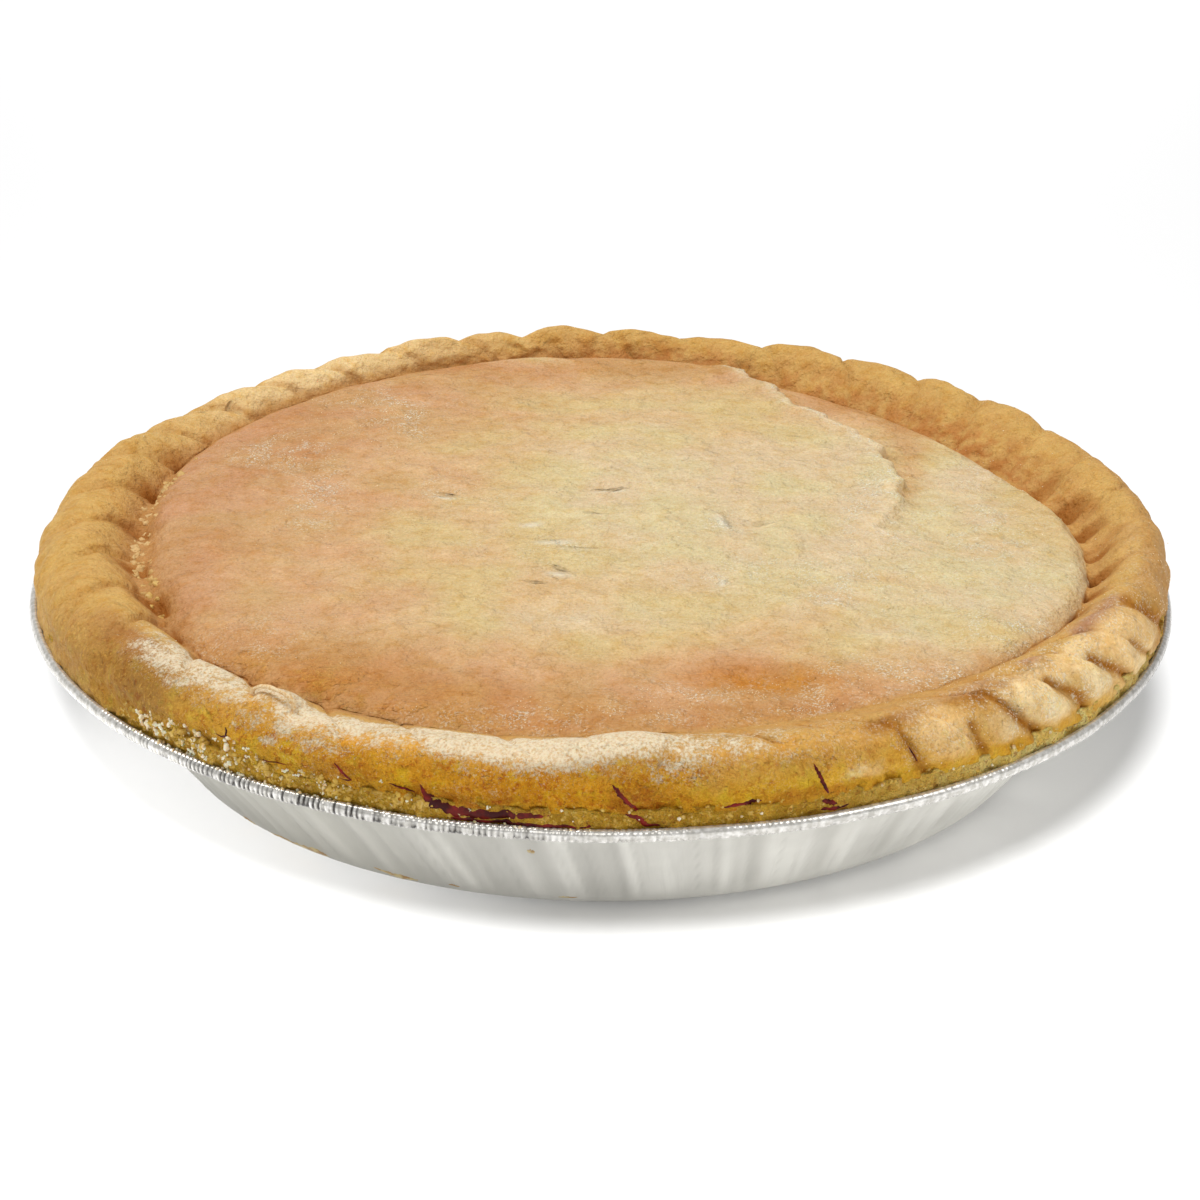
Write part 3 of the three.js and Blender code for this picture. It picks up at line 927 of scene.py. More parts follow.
for at_x, at_y, reach_x, reach_y, change in pale_patches:
    paleness += change * oval(x - at_x, y - at_y, reach_x, reach_y)
colour = np.tile(brown, (len(spot), 1))
for over, start, end in [(toast, 0.0, 0.35), (pale, 0.3, 0.7), (cream, 0.65, 1.0)]:
    colour = wash(colour, over, blend(start, end, paleness))
colour = wash(colour, rosy, 0.85 * near(bearing, 172, 40) * bell(96 - out_from_middle, 22))

# The torn brink of the step is pale, partly its own colour and partly painted highlight, and the shelf close
# under it is darkened with painted shade.
off_step = x - step_line(y)
brink = bell(off_step + 1.5, 1.5) * blend(-22, -10, y)
colour = wash(colour, torn_cream_and_highlight, 0.8 * brink * is_lid)
under_step_shade = bell(off_step - 1.6, 1.7) * blend(-2, 20, y)
colour = wash(colour, step_shadow_brown, 0.75 * under_step_shade * is_lid)

# The lid's front edge is fried amber in patches.
front_edge = sum_near(bearing, [(1.1, 236, 13), (0.55, 258, 14), (0.4, 285, 10)])
reach_in = bell(100 - out_from_middle, 13, 3)
broken = blend(-0.7, 0.5, blotches + 0.7 * freckles + 0.7 * specks)
fried_share = front_edge * reach_in * broken * is_lid
colour = wash(colour, fried, 0.65 * fried_share)
colour = wash(colour, fried, 0.85 * oval(x - 30, y + 77, 13, 5) * blend(-1, 0.6, freckles))

# The rim is an even golden tan, browner in its furrows and where it meets the lid.
honeyed = 0.2 + 0.28 * blotches + 0.14 * freckles
honeyed = honeyed + (0.5 - 0.3 * near(bearing, 55, 50)) * blend(0.72, 0.95, step)
rim_colour = wash(np.tile(tan, (len(spot), 1)), honey, honeyed)
# The inner face at the back left is washed lighter, partly paler dough and partly painted light.
bright = 0.9 * near(bearing, 128, 20) * blend(0.55, 0.65, step) * blend(1.0, 0.88, step)
rim_colour = wash(rim_colour, pale_and_lit_tan, bright)
wide_cut = bell(from_furrow, 2 * furrow_width) * blend(-0.7, 0.5, blotches + freckles)
marked = blend(0.62, 0.8, step) * (1 - near(bearing, 262, 40)) * (1 - 0.3 * near(bearing, 70, 45))
in_furrow = (0.1 + 0.55 * marked) * wide_cut * (is_rim | is_valley) * (1 - 0.5 * near(bearing, 50, 50))
rim_colour = wash(rim_colour, furrow_brown, in_furrow)
at_foot = towards_valley(0.86, 1.0) * (1 - near(bearing, 292, 26)) * (1 - 0.6 * near(bearing, 0, 34))
rim_colour = wash(rim_colour, foot_brown, 0.75 * at_foot * (1 - 0.5 * near(bearing, 45, 40)))
fringe = sum_near(bearing, [(1, 32, 22), (0.8, 84, 14), (0.5, 60, 12)])
fringe = fringe * towards_valley(0.76, 0.95) * blend(-0.5, 0.5, freckles + specks)
rim_colour = wash(rim_colour, fringe_brown, 0.7 * fringe)
# Painted shade darkens the pockets in the valley.
in_pocket = blend(0.25, 1.3, pocket_depth) * towards_valley(0.80, 0.98)
rim_colour = wash(rim_colour, pocket_shade_brown, 0.85 * in_pocket * np.where(is_lid, 0.3, 1.0))

# The outer face was fried in butter and juice at the front, and has baked darker at its ends.
# Each patch: bearing and height, reach round and upwards, colour and strength.
# The shade patches at the front left are painted shade.
face_patches = [
    (2, 36, 26, 9, baked_side, 0.85), (209, 33.5, 9, 4, shade, 0.6), (218, 36, 6.5, 5, shade, 0.95),
    (223, 39, 5, 4, shade, 0.85), (219, 42.2, 8, 2.2, plum, 0.9), (264, 35, 42, 7.0, amber, 1.0),
    (240, 35.5, 13, 2.6, gold, 0.55), (288, 35.5, 14, 3.5, gold, 0.9), (236, 31.5, 18, 3.2, mustard, 1.0),
    (294, 31, 34, 2.3, mustard, 1.0), (309, 32.6, 17, 2.3, mustard, 0.95), (224, 36, 4.5, 4, shade, 0.6),
    (258, 33.4, 5, 1.8, rust, 0.7), (273.5, 34.5, 3, 3, rust, 0.75), (288, 33.4, 4.5, 1.6, rust, 0.6),
    (247, 36, 2.5, 2.5, rust, 0.5), (262, 37, 10, 2.4, rust, 0.25), (280, 39, 3.2, 3, biscuit, 0.4),
    (286.5, 39.6, 4.5, 3, biscuit, 0.35), (293, 39.6, 3.5, 2.4, biscuit, 0.45),
    (293.5, 36.2, 2.2, 1.2, sandy, 0.75), (296.5, 42.6, 3.4, 1.7, plum, 1.0),
    (302, 38.4, 3.4, 3.6, sandy, 0.9), (310.6, 38.8, 3.0, 3.6, ivory, 1.0),
    (315.4, 38.4, 2.6, 4.4, ivory, 1.0), (322.8, 38.4, 3.4, 5.0, ivory, 1.0),
    (328.5, 37, 3.2, 7, sandy, 0.95), (334, 35, 3.6, 8, sandy, 0.85), (320, 42.0, 14, 1.8, sandy, 0.6),
    (333, 33.5, 2.4, 3.5, ivory, 0.6), (307, 43.4, 8, 1.8, plum, 1.0), (346, 36, 9, 8, baked_side, 0.9),
]
warped = bearing + 0.8 * blotches + 0.5 * freckles
raised = z + 0.7 * blotches + 0.5 * freckles + 0.25 * specks
for at_bearing, at_height, reach_round, reach_up, over, strength in face_patches:
    turned = (warped - at_bearing + 540) % 360 - 180
    patch = oval(turned, raised - at_height, reach_round, reach_up, 3)
    rim_colour = wash(rim_colour, over, strength * patch * face)

# Butter has browned in the grooves, darkest in their bottoms.
for width, _, strength, course in grooves:
    wide = 0.65 * strength * along_line(course, 1.7 * width) * face
    rim_colour = wash(rim_colour, groove_gold, wide)
    narrow = strength * along_line(course, 0.95 * width) * face * blend(-1.8, -0.6, freckles)
    rim_colour = wash(rim_colour, groove_brown, narrow)
blushing = near(bearing, 322, 24) * bell(step - 0.74, 0.09)
mottled = blend(-0.3, 0.5, lumps(around(bearing), 9, 42) + 0.4 * blotches)
rim_colour = wash(rim_colour, blush, 1.1 * blushing * mottled)
flows = near(bearing, 290, 24) * blend(0.66, 0.8, step) * is_rim
rim_colour = wash(rim_colour, buttered, 0.75 * flows)
edge_share = np.where(is_lid, bell(from_edge, 1.6), 1.0)
edge_colour = 0.5 * (rim_colour + np.array(brown))
colour = wash(colour, edge_colour, edge_share * is_lid * (1 - 0.85 * near(bearing, 3, 42)))
colour = np.where(is_lid[:, None], colour, rim_colour)

# Dusting of flour below the crest at the front: bearing and height, reach round and upwards, and
# how thick it lies.
flour_patches = [
    (230.5, 40.2, 6, 2, 0.42), (238, 39.4, 6, 2.2, 0.5), (246, 39.2, 5, 2.2, 0.52), (277, 40.5, 5, 3.0, 0.6),
    (251, 39.4, 3, 1.8, 0.45), (260, 39.2, 4, 1.8, 0.45), (265, 38.6, 4, 2, 0.5), (276, 38.8, 4.5, 2.2, 0.5),
    (240.3, 37.3, 1.7, 0.9, 0.9), (262, 36, 10, 3, 0.26), (232, 34, 8, 3, 0.28), (246, 35, 8, 3, 0.24),
]
# The thick of it lies along the crest: bearing, how thick, and how far down it reaches.
flour_band = [
    (208, 0, 1.5), (215, 0.25, 2.2), (220, 0.55, 2.4), (225, 0.95, 2.8), (228, 1.0, 2.8), (232, 0.85, 2.4),
    (236, 0.75, 2.0), (241, 0.95, 2.4), (246, 0.95, 2.2), (250, 0.8, 2.0), (256, 1.0, 2.4), (262, 1.1, 3.0),
    (270, 1.15, 3.8), (275, 1.0, 4.2), (280, 0.62, 4.4), (286, 0.42, 4), (292, 0.25, 3), (300, 0, 2),
]
crest_step = 0.667
at, thick, down = np.array(flour_band).T
crest_height = rim_places(angle)["crest"][1]
below_crest = np.where(step < crest_step, np.maximum(crest_height + 0.4 - z, 0), 0)
sunk_edge = below_crest + 0.6 * blotches + 0.3 * freckles
dusting = np.interp(warped, at, thick) * bell(np.maximum(sunk_edge, 0), np.interp(warped, at, down))
for at_bearing, at_height, reach_round, reach_up, thickness in flour_patches:
    patch = oval(warped - at_bearing, raised - at_height, reach_round, reach_up)
    dusting = np.maximum(dusting, thickness * patch)
dusting = dusting * (1 + 0.2 * freckles) * blend(0.92, 0.80, step) * is_rim

# Where sugar has half melted into the crust, and shows painted glints: place, reach along x and y, and how
# much.
sugared = [
    (54, 5, 8, 26, 1), (40, -36, 24, 14, 0.9), (76, -8, 13, 34, 0.9), (82, 28, 8, 16, 0.9), (24, -8, 4, 8, 1),
    (-9, -20, 16, 10, 0.5), (-30, 8, 12, 12, 0.5), (-58, 8, 6, 18, 0.9), (-44, 54, 9, 14, 1),
    (-68, 34, 10, 12, 1), (74, -54, 13, 10, 1), (56, -74, 18, 8, 0.8), (30, -84, 24, 7, 0.7),
    (-4, -92, 36, 5, 0.6), (-48, 66, 12, 10, 0.8), (-62, -62, 14, 8, 0.5),
]
sugar_share = np.zeros(len(spot))
for at_x, at_y, reach_x, reach_y, amount in sugared:
    sugar_share = np.maximum(sugar_share, amount * oval(x - at_x, y - at_y, reach_x, reach_y))
sugar_share = np.maximum(sugar_share * (0.7 + 0.5 * blotches), brink) * is_lid
lobes = near(bearing, 318, 26) * is_rim * blend(0.15, 0.3, step) * blend(0.9, 0.75, step)
sugar_share = np.maximum(sugar_share, 0.5 * lobes)
crumbly = near(bearing, 262, 40) * blend(0.60, 0.40, step)
crumbly = (crumbly + 0.35 * near(bearing, 225, 25) * blend(0.7, 0.5, step)) * is_rim
crumbly = crumbly + 0.45 * fried_share

wash_layer = crust.data.color_attributes.new("baked", "FLOAT_COLOR", "POINT")
opaque = np.concatenate([np.clip(colour, 0, 1), np.ones((len(spot), 1))], 1)
wash_layer.data.foreach_set("color", opaque.ravel())
for name, values in [
    ("dusting", dusting), ("lid", np.where(is_lid, 1 - edge_share, 0)), ("paleness", paleness),
    ("sugared", sugar_share), ("crumbly", crumbly),
]:
    note(crust, name, np.clip(values, 0, 1))

# The finer browning, crumb, flour and sugar, with painted glints and the painted shade and highlight of slits
# and lips, are in the material.
peach_tint = (1.03, 0.94, 0.93)
yellow_tint = (1.0, 0.985, 0.88)
baked_crumb = (0.76, 0.46, 0.08)
creamy_flour = (0.72, 0.54, 0.33)
white_flour = (0.84, 0.74, 0.54)
lip_highlight = (0.84, 0.78, 0.62)
slit_shade = (0.40, 0.29, 0.15)
sugar_and_glint_white = (0.98, 0.93, 0.76)
dough = Nodes("baked_dough")
baked = dough.layer("baked").outputs["Color"]
on_lid, dusted, pale_share, coarse, sweet = (
    dough.layer(name).outputs["Fac"] for name in ("lid", "dusting", "paleness", "crumbly", "sugared")
)
streaks = dough.noise(1.8, 4, 0.6, (0.35, 1, 1))
grain = dough.noise(0.6, 3, 0.6)
crumb = dough.noise(2.8, 4, 0.6)
clouds = dough.noise(7, 4, 0.55)
rubble = dough.noise(1.5, 4, 0.75)
peachy = dough.mix(1.0, baked, peach_tint, "MULTIPLY")
yellower = dough.mix(1.0, baked, yellow_tint, "MULTIPLY")
warm_or_yellow = dough.mix(dough.ramp(dough.noise(20, 3, 0.5), 0.38, 0.62), peachy, yellower)
tone = dough.mix(on_lid, baked, warm_or_yellow)
browned = dough.reckon("MULTIPLY_ADD", dough.reckon("SUBTRACT", 1.0, pale_share), 0.4, 0.5)
yellowed = dough.times(dough.ramp(dough.noise(3.2, 4, 0.65), 0.5, 0.64), coarse)
# Pale clouds, brown spots, faint streaks, light and dark grain, scorched and yellow crumb.
for amount, tint in [
    (dough.ramp(clouds, 0.42, 0.7), (1.09, 1.11, 1.13)),
    (dough.times(dough.ramp(crumb, 0.42, 0.72), browned), (0.90, 0.78, 0.52)),
    (dough.times(dough.ramp(streaks, 0.4, 0.7), 0.06), (0.90, 0.82, 0.66)),
    (dough.ramp(grain, 0.5, 0.72), (1.14, 1.16, 1.2)),
    (dough.ramp(grain, 0.48, 0.32), (0.92, 0.87, 0.78)),
    (dough.times(dough.ramp(rubble, 0.5, 0.66), coarse), (0.76, 0.50, 0.34)),
    (dough.times(yellowed, 0.9), (1.03, 1.30, 1.15)),
]:
    tone = dough.tint(amount, tone, tint)
crusted = dough.times(dough.ramp(dough.noise(0.6, 3, 0.7), 0.56, 0.68), coarse)
tone = dough.mix(dough.times(crusted, 0.6), tone, baked_crumb)
veil = dough.reckon(
    "ADD", dough.times(dough.noise(0.5, 4, 0.8), 1.2), dough.times(dough.noise(2.4, 3, 0.6), 1.0)
)
veil = dough.ramp(dough.reckon("ADD", veil, dough.times(dusted, 0.75)), 1.38, 1.80)
single_grains = dough.times(dough.ramp(dough.noise(0.42, 3, 0.7), 0.58, 0.66), dough.ramp(dusted, 0.06, 0.5))
powder = dough.times(dough.reckon("MAXIMUM", veil, single_grains), dough.ramp(dusted, 0.03, 0.12))
floury = dough.mix(dough.ramp(dough.noise(0.5, 2, 0.6), 0.35, 0.6), creamy_flour, white_flour)
tone = dough.mix(dough.times(powder, 0.9), tone, floury)

# Slits torn in the lid, and the lips raised beside them: place, turn, and reach along and across.
slits = [
    (2, 11.3, 0, 6, 0.7), (-1, -2.6, -4, 3.5, 0.7), (-3, -20, 0, 5.5, 0.6), (-8, -30.5, -32, 3.2, 0.9),
    (-12, -36.5, -15, 3.5, 0.7), (-31, 9, -22, 4, 0.9), (31, -4, 0, 5, 2.2), (-83, 62.6, 60, 2.4, 0.6),
    (-88, 58, 40, 1.6, 0.6),
]
lips = [
    (2, 9.6, 0, 6, 1.6), (-9, -18, 8, 6, 2.2), (-8, -33.5, -25, 4.5, 2.6), (24, -7, 15, 2.2, 6),
    (-14, -9, 20, 4, 2.5), (23, -36, 80, 3, 1.4), (-32, 6.5, -20, 3.5, 1.6),
]


def all_of(marks):
    together = dough.hollow(*marks[0])
    for mark in marks[1:]:
        together = dough.reckon("MAXIMUM", together, dough.hollow(*mark))
    return together


sunk = all_of(slits)
lifted = all_of(lips)
# Painted highlight on the raised lips and painted shade in the slits.
tone = dough.mix(dough.times(lifted, 0.6), tone, lip_highlight)
tone = dough.mix(dough.times(sunk, 0.4), tone, slit_shade)
# Bright specks where the sugar lies: partly the sugar's own colour, partly painted glints.
clusters = dough.ramp(dough.noise(5, 3, 0.6), 0.40, 0.58)
sparkle = dough.ramp(dough.noise(0.5, 2, 0.65), 0.52, 0.60)
glints = dough.times(dough.times(clusters, sparkle), sweet)
tone = dough.mix(dough.times(glints, 0.9), tone, sugar_and_glint_white)
matt = dough.reckon("SUBTRACT", 0.64, dough.times(on_lid, 0.14))
dough.set(base_color=tone, roughness=dough.reckon("SUBTRACT", matt, dough.times(glints, 0.2)))
dough.set(specular=0.16, subsurface_weight=0.1, subsurface_scale=0.003)
dough.set(subsurface_radius=(1.0, 0.55, 0.25))
ripple = None
for relief, depth, strength in [
    (clouds, 3.6, 0.8), (crumb, 1.3, 0.7), (streaks, 0.15, 0.4), (grain, 0.26, 0.8),
    (dough.times(rubble, coarse), 2.2, 1.0), (glints, 0.16, 0.8), (sunk, -0.9, 0.8),
    (lifted, 1.1, 0.7), (powder, 0.15, 0.5),
]:
    ripple = dough.bump(relief, depth, strength, ripple)
dough.set(normal=ripple)
finish_piece(crust, dough.material, "top_crust", "top_crust")


# ---- Strand of dough ----
# A thin strand of the same dough has lifted off the crest at the front left when the crimps were
# pressed, and has baked there as a small arch with both ends in the rim.
strand_bearing, strand_radius, strand_height = 237.6, 105.3, 41.2
strand_thickness = 2.3
half_span = 4.5
arch_height = 2.3
degree_at_strand = 1.87
strand_tan = (0.70, 0.44, 0.19)
strand_cream = (0.82, 0.66, 0.42)
bare_scene()
bpy.ops.mesh.primitive_torus_add(
    major_segments=48, minor_segments=12, major_radius=mm, minor_radius=0.17 * mm
)
strand = bpy.context.object
strand.name = "dough_strand"
bpy.ops.object.shade_smooth()
ring = places(strand)
swing = np.arctan2(ring[:, 1], ring[:, 0])
middle_of_tube = np.stack([np.cos(swing), np.sin(swing), 0 * swing], -1)
tube = (ring - middle_of_tube) * (strand_thickness + 0.5 * lumps(ring, 0.6, 51))[:, None]
aside = middle_of_tube[:, 0] * half_span + tube[:, 0]
up = middle_of_tube[:, 1] * arch_height + tube[:, 1]
far = strand_radius + tube[:, 2] - 0.3 * np.abs(aside) / half_span
turned = strand_bearing + aside / degree_at_strand + 0.25 * up
put(strand, ring_spots(far, turned, strand_height + up - 0.12 * aside))
strand_dough = Nodes("dough_of_the_strand")
mottle = strand_dough.ramp(strand_dough.noise(0.5, 3, 0.7), 0.4, 0.6)
strand_dough.set(base_color=strand_dough.mix(mottle, strand_tan, strand_cream), roughness=0.6, specular=0.16)
strand_dough.set(normal=strand_dough.bump(strand_dough.noise(0.6, 3), 0.1, 0.5))
finish_piece(strand, strand_dough.material, "top_crust")


# ---- Juice that has run out ----
# Sticky dark red juice from the filling, boiled out through slits and the open seam at the front
# and dried on the pastry. Each run is a thin pool or thread that clings to the outer face.
ray_start = 0.13
face_radius = 0.112
juice_swell = 0.26
juice_sunk = 0.10
juice_wall = 0.5
juice_grid = (30, 7)

pastry = BVHTree.FromObject(crust, bpy.context.evaluated_depsgraph_get())
lower_pastry = BVHTree.FromObject(shell, bpy.context.evaluated_depsgraph_get())


def outwards(angle):
    return Vector((math.cos(math.radians(angle)), math.sin(math.radians(angle)), 0))


def outer_face(angle, height):
    """Where the pastry's outer face is at an angle and height, and which way it faces."""
    out = outwards(angle)
    level = Vector((0, 0, height * mm))
    hits = [tree.ray_cast(out * ray_start + level, -out) for tree in (pastry, lower_pastry)]
    hits = [hit for hit in hits if hit[0] is not None]
    if not hits:
        return out * face_radius + level, out
    place, facing, _, _ = min(hits, key=lambda hit: hit[3])
    return place, facing


def new_strip(grid_size):
    """A flat grid to press onto a face, with its two runs from -1 to 1."""
    bare_scene()
    bpy.ops.mesh.primitive_grid_add(x_subdivisions=grid_size[0], y_subdivisions=grid_size[1], size=2)
    strip = bpy.context.object
    return strip, np.array([(v.co.x, v.co.y) for v in strip.data.vertices])


def along_course(course, run):
    """Angle, height and half width of a course, read at places from -1 to 1 along it."""
    course = np.array(course, float)
    knots = np.linspace(-1, 1, len(course))
    return np.stack([np.interp(run, knots, course[:, k]) for k in range(3)], -1)


def jagged_edge(grid, amount, run, side, size, seed):
    spots = np.stack([run * grid[:, 0], side * np.sign(grid[:, 1]), 0 * grid[:, 0] + seed], -1)
    return 1 + amount * lumps(spots, size, seed)


def thicken(strip, thickness):
    wall = strip.modifiers.new("wall", "SOLIDIFY")
    wall.thickness = thickness * mm
    wall.offset = -1
    bpy.ops.object.modifier_apply(modifier="wall")
    bpy.ops.object.shade_smooth()
    return strip


def clinging_run(course, seed):
    """A thin strip along a course of (angle, height, half its width), pressed onto the pastry."""
    strip, grid = new_strip(juice_grid)
    here, there = (along_course(course, grid[:, 0] + d) for d in (-0.05, 0.05))
    middle = along_course(course, grid[:, 0])
    heading = (there - here)[:, :2] * (degree_length, 1)
    heading /= np.maximum(np.linalg.norm(heading, axis=1), 1e-6)[:, None]
    aside = grid[:, 1] * middle[:, 2] * jagged_edge(grid, 0.5, 8, 3, 1.1, seed)
    angle = middle[:, 0] - heading[:, 1] * aside / degree_length
    height = middle[:, 1] + heading[:, 0] * aside
    for vertex, a, h, (u, v) in zip(strip.data.vertices, angle, height, grid):
        place, facing = outer_face(a, h)
        swell = juice_swell * (1 - v * v) * (1 - u**4) - juice_sunk
        vertex.co = place + facing * swell * mm
    return thicken(strip, juice_wall)


def join_strips(strips, name, material):
    bare_scene()
    for strip in strips:
        strip.select_set(True)
    bpy.context.view_layer.objects.active = strips[0]
    bpy.ops.object.join()
    strips[0].name = name
    finish_piece(strips[0], material, "filling")


runs = [
    [(254.4, 35.6, 0.15), (254.9, 34.0, 0.5), (255.6, 32.2, 0.9), (257.5, 31.2, 1.1), (261, 31.0, 1.0),
     (264, 31.4, 0.7), (266.9, 31.9, 0.15)],
    [(256.4, 29.9, 0.3), (260, 29.7, 0.5), (265, 29.8, 0.5), (270, 29.9, 0.3)],
    [(271.0, 38.0, 0.1), (271.6, 36.6, 0.55), (272.3, 34.9, 0.6), (273.6, 32.2, 0.2)],
    [(272.0, 32.6, 0.2), (273.3, 31.6, 0.6), (274.0, 30.0, 0.5), (275.5, 29.8, 0.2)],
    [(280.3, 32.8, 0.1), (281.5, 33.1, 0.45), (283.0, 33.3, 0.45), (284.2, 33.4, 0.1)],
    [(288.6, 39.0, 0.1), (289.0, 37.2, 0.4), (289.4, 35.4, 0.4), (290.1, 32.6, 0.25)],
    [(289.4, 31.8, 0.2), (290.2, 31.2, 0.7), (290.9, 30.9, 0.25)],
    [(289.3, 29.9, 0.2), (290.6, 30.1, 0.5), (292.3, 30.3, 0.15)],
    [(298.1, 38.3, 0.1), (298.4, 36.8, 0.25), (298.9, 35.1, 0.1)],
    [(233.6, 35.6, 0.1), (234.5, 35.3, 0.25), (235.3, 36.0, 0.3), (235.3, 37.0, 0.25), (234.9, 37.6, 0.1)],
    [(238.5, 33.4, 0.05), (240.5, 33.9, 0.16), (242.3, 34.4, 0.05)],
    [(246.6, 37.0, 0.1), (247.4, 35.6, 0.3), (248.4, 34.2, 0.2), (247.0, 33.9, 0.1)],
    [(251.6, 34.7, 0.08), (252.8, 34.2, 0.28), (254.2, 33.2, 0.1)],
]
strips = [clinging_run(course, seed) for seed, course in enumerate(runs)]
join_strips(strips, "juice_runs", sticky.material)


# ---- Crumbs ----
# Loose crumbs of the shortcrust pastry. Yellow ones lie along the front seam, and in the crevice
# between rim and lid at the left. Smaller ones, pale with sugar, lie in clumps along the seam and
# on the rolled edge at the front left.
seam_crumbs = 330
crevice_crumbs = 64
sugar_clumps = 90
stray_crumbs = 16
crumbs_on_roll = 70
roll_top = 29.5
above_the_lid = 0.06
butter_dark = (0.44, 0.24, 0.014)
butter_yellow = (0.66, 0.42, 0.06)
crevice_gold = (0.68, 0.43, 0.17)
crumb_light = (0.80, 0.62, 0.30)
sugar_tan = (0.70, 0.51, 0.24)
sugar_white = (0.88, 0.78, 0.57)


def strew(piece, form, name, spots, sizes, seed, thinnest):
    """Copies one form to each spot, turned and stretched at random, as a single piece."""
    chance = np.random.default_rng(seed)
    piece.name = name
    faces = np.array([tuple(face.vertices) for face in piece.data.polygons])
    points, corners = [], []
    for number, (spot, size) in enumerate(zip(spots, sizes)):
        turn = chance.uniform(0, 2 * math.pi)
        twist = Matrix.Rotation(turn, 3, Vector(chance.normal(size=3)).normalized())
        stretch = chance.uniform(thinnest, 1.2, 3)
        points.append((form * stretch) @ np.array(twist).T * size * mm + np.array(spot))
        corners.append(faces + number * len(form))
    piece.data.clear_geometry()
    piece.data.from_pydata(np.concatenate(points), [], np.concatenate(corners))
    piece.data.update()
    return piece


def strew_crumbs(name, spots, sizes, seed):
    bare_scene()
    bpy.ops.mesh.primitive_ico_sphere_add(subdivisions=2, radius=0.5)
    crumb = bpy.context.object
    form = np.array([v.co for v in crumb.data.vertices])
    form *= (1 + 0.5 * lumps(form * 10, 3.4, seed))[:, None]
    strew(crumb, form, name, spots, sizes, seed, 0.75)
    bpy.ops.object.shade_smooth()
    return crumb


def lid_face(angle, radius):
    above = outwards(angle) * radius * mm + Vector((0, 0, above_the_lid))
    place, facing, _, _ = pastry.ray_cast(above, Vector((0, 0, -1)))
    return place, facing


# Yellow crumbs still stuck to the trimmed edge at the front, and in the crevice at the left.
chance = np.random.default_rng(4)
spots, sizes = [], []
for _ in range(seam_crumbs):
    bearings = [chance.uniform(220, 254), chance.uniform(222, 256), chance.uniform(266, 326)]
    bearing = chance.choice(bearings)
    place, facing = outer_face(bearing, chance.uniform(29.9, 33.2))
    size = chance.uniform(0.7, 1.9) if bearing < 260 else chance.uniform(0.6, 1.3)
    spots.append(place - facing * 0.38 * size * mm)
    sizes.append(size)
for _ in range(crevice_crumbs):
    bearing = chance.choice([chance.normal(181, 7), chance.normal(168, 5), chance.normal(195, 5)])
    crevice = 98.0 - 4.5 * float(near(bearing, 190, 36))
    place, facing = lid_face(bearing, crevice - chance.uniform(0, 3.6))
    size = chance.uniform(0.7, 2.2)
    spots.append(place - facing * 0.25 * size * mm)
    sizes.append(size)
yellow_crumbs = strew_crumbs("pastry_crumbs", spots, sizes, 7)

buttery = Nodes("buttery_crumb")
tone = buttery.mix(buttery.ramp(buttery.noise(2.6, 3), 0.40, 0.60), butter_dark, butter_yellow)
tone = buttery.mix(buttery.hollow(-93, 0, 0, 24, 70), tone, crevice_gold)
flecks = buttery.times(buttery.ramp(buttery.noise(0.8, 3), 0.5, 0.7), 0.35)
buttery.set(base_color=buttery.mix(flecks, tone, crumb_light), roughness=0.55)
buttery.set(normal=buttery.bump(buttery.noise(0.5, 3, 0.7), 0.25, 0.8))
finish_piece(yellow_crumbs, buttery.material, "top_crust")

# White crumbs of sugar in small clumps along the seam, single ones further round, and some on
# the rolled edge at the front left.
spots, sizes = [], []
for _ in range(sugar_clumps):
    bearings = [chance.normal(230, 4.5), chance.uniform(222, 262), chance.uniform(222, 250)]
    bearing = chance.choice(bearings)
    heights = [chance.uniform(30.2, 32), chance.uniform(30.5, 35), chance.uniform(31, 34)]
    place, facing = outer_face(bearing, chance.choice(heights))
    size = 0.42 + (0.95 if bearing < 237 else 0.45) * chance.random() ** 2
    for _ in range(chance.integers(2, 6)):
        aside = Vector(chance.normal(size=3)) * 0.0005 * size
        spots.append(place - facing * 0.00005 * size + aside - facing * aside.dot(facing))
        sizes.append(size * chance.uniform(0.5, 1))
for _ in range(stray_crumbs):
    place, facing = outer_face(chance.uniform(262, 330), chance.uniform(30.3, 34))
    spots.append(place + facing * 0.0001)
    sizes.append(chance.uniform(0.3, 0.7))
for _ in range(crumbs_on_roll):
    bearing = math.radians(chance.choice([chance.normal(231, 7), chance.uniform(222, 270)]))
    spread = chance.uniform(112.0, 113.2)
    spots.append(Vector((spread * math.cos(bearing), spread * math.sin(bearing), roll_top)) * mm)
    sizes.append(chance.uniform(0.35, 0.85))
pale_crumbs = strew_crumbs("sugar_crumbs", spots, sizes, 5)

sugary = Nodes("sugary_crumb")
tone = sugary.mix(sugary.ramp(sugary.noise(2.4, 2), 0.38, 0.56), sugar_tan, sugar_white)
sugary.set(base_color=tone, roughness=0.5, subsurface_weight=0.2, subsurface_scale=0.001)
sugary.set(normal=sugary.bump(sugary.noise(0.3, 2), 0.06, 0.6))
finish_piece(pale_crumbs, sugary.material, "top_crust")


# ---- Sugar grains on the lid ----
# Fine sugar scattered over the pie before baking, thickest on the right and in the middle. Its
# grains are 0.1 to 0.2 mm, and have half melted into the pastry and tanned with it.
grains_on_lid = 3800
grains_on_rim = 350
clump_size = 4.0
sugar_reach = 106
crystal_tan = (0.74, 0.55, 0.30)
crystal_pale = (0.88, 0.73, 0.48)

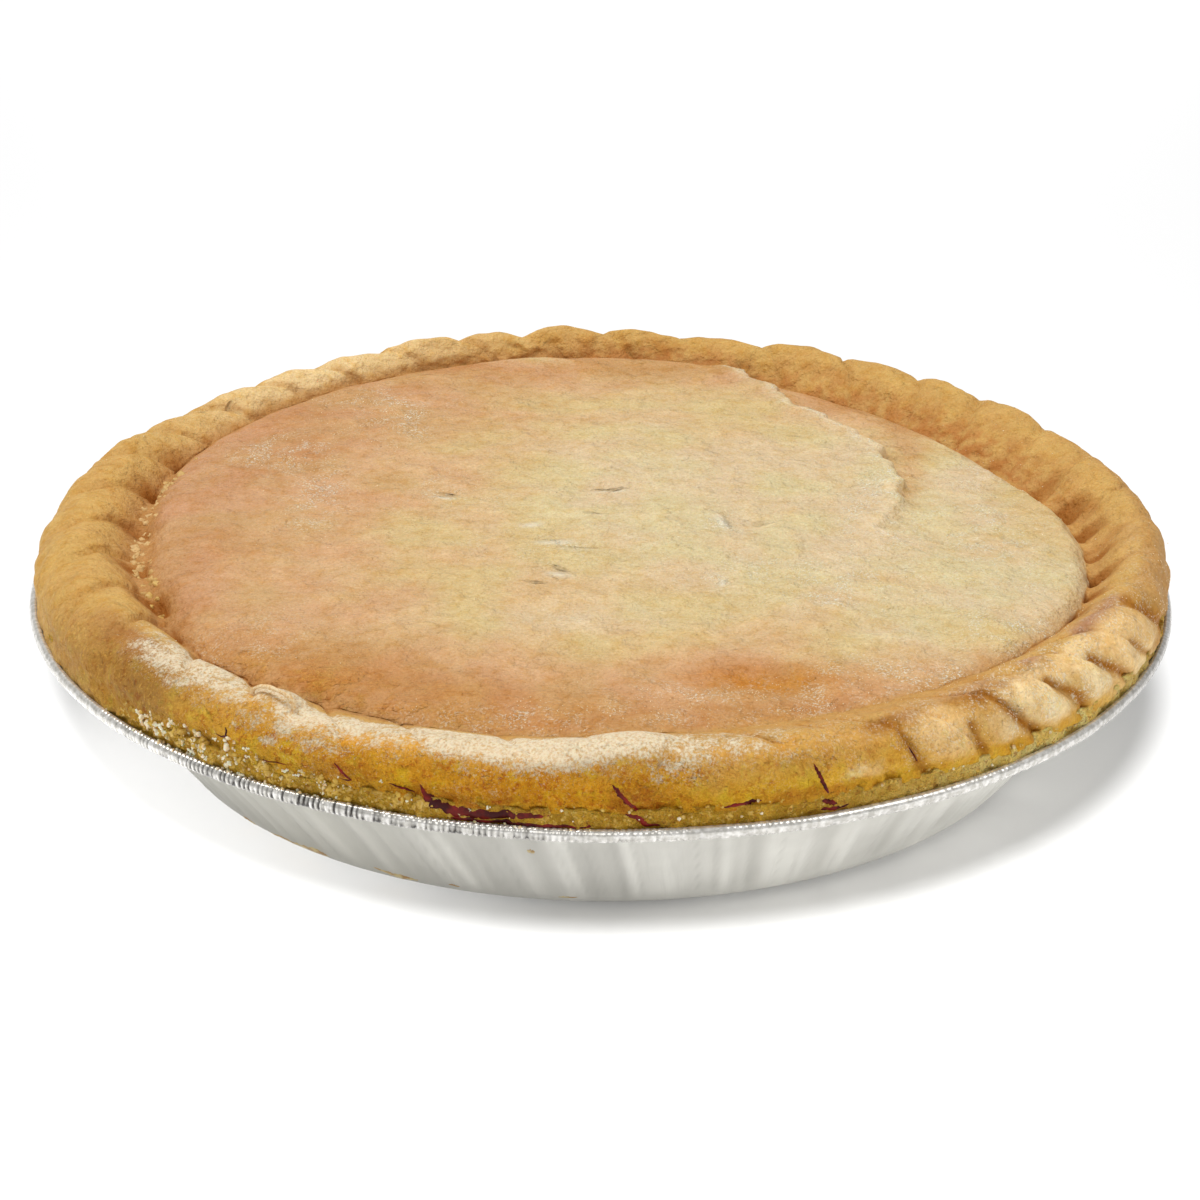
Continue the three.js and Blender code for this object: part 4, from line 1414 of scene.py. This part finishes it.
grain_shares = np.array([row[2] * row[3] * row[4] for row in sugared])
grain_shares /= grain_shares.sum()
spots, sizes = [], []
while len(spots) < grains_on_lid:
    x, y, reach_x, reach_y, _ = sugared[chance.choice(len(sugared), p=grain_shares)]
    x, y = x + reach_x * chance.normal() * 0.7, y + reach_y * chance.normal() * 0.7
    clump = noise.noise(Vector((x / clump_size, y / clump_size, 3.3)))
    if math.hypot(x, y) > sugar_reach or chance.random() > 0.25 + 1.6 * clump:
        continue
    place, facing = lid_face(math.degrees(math.atan2(y, x)), math.hypot(x, y))
    spots.append(place)
    sizes.append(chance.uniform(0.10, 0.21))
while len(spots) < grains_on_lid + grains_on_rim:
    place, facing = outer_face(chance.uniform(296, 352), chance.uniform(34, 43))
    spots.append(place)
    sizes.append(chance.uniform(0.10, 0.2))
bare_scene()
bpy.ops.mesh.primitive_cube_add(size=1)
grain = bpy.context.object
grain_form = np.array([v.co for v in grain.data.vertices])
strew(grain, grain_form, "sugar_grains", spots, sizes, 9, 0.7)

crystal = Nodes("sugar_crystal")
tone = crystal.mix(crystal.ramp(crystal.noise(6, 2), 0.4, 0.6), crystal_tan, crystal_pale)
crystal.set(base_color=tone, roughness=0.3, specular=0.5)
finish_piece(grain, crystal.material, "top_crust")


# ---- Stains on the foil ----
# Drops of juice and butter that ran down the outside of the dish in the oven and baked on. They
# are thin films, mottled from gold to burnt brown, most of them low on the wall.
film_grid = (26, 6)
film_swell = 0.14
film_sunk = 0.03
film_wall = 0.15
lowest_drip = 0.7
wall_ray_start = 0.125
burnt_juice = (0.30, 0.17, 0.045)
gold_juice = (0.46, 0.36, 0.16)
wall_tree = BVHTree.FromObject(dish, bpy.context.evaluated_depsgraph_get())


def stain(course, seed):
    """A thin baked-on film along a course of (angle, height, half its width)."""
    film, grid = new_strip(film_grid)
    jagged = jagged_edge(grid, 0.7, 9, 4, 1.2, seed)
    middle = along_course(course, grid[:, 0])
    for vertex, (a, h, w), edge, (u, v) in zip(film.data.vertices, middle, jagged, grid):
        level = Vector((0, 0, max(lowest_drip, h + v * w * edge) * mm))
        place, facing, _, _ = wall_tree.ray_cast(outwards(a) * wall_ray_start + level, -outwards(a))
        vertex.co = place + facing * (film_swell * (1 - v * v) * (1 - u**6) - film_sunk) * mm
    return thicken(film, film_wall)


drips = [
    [(221.0, 2.2, 0.1), (222.2, 2.4, 0.6), (224.0, 1.6, 0.2)],
    [(225.4, 1.6, 0.1), (229, 2.6, 0.5), (232, 2.6, 0.5), (234.5, 2.9, 0.9), (236.6, 2.4, 0.2)],
    [(242.8, 3.6, 0.1), (244.6, 3.1, 0.5), (246.6, 2.7, 0.8), (248.9, 2.8, 0.2)],
    [(252.6, 3.5, 0.1), (253.4, 3.4, 0.3), (254, 3.3, 0.1)],
    [(265.4, 3.0, 0.05), (266.4, 3.2, 0.22), (267.8, 3.3, 0.05)],
    [(262.9, 17.7, 0.3), (263.3, 17.6, 0.75), (263.7, 17.5, 0.35)],
]
varnish = Nodes("baked_on_juice")
tone = varnish.mix(varnish.ramp(varnish.noise(1.6, 3), 0.4, 0.62), burnt_juice, gold_juice)
varnish.set(base_color=tone, roughness=0.42, normal=varnish.bump(varnish.noise(0.8, 2), 0.08, 0.5))
join_strips([stain(course, seed) for seed, course in enumerate(drips)], "baked_on_drips", varnish.material)
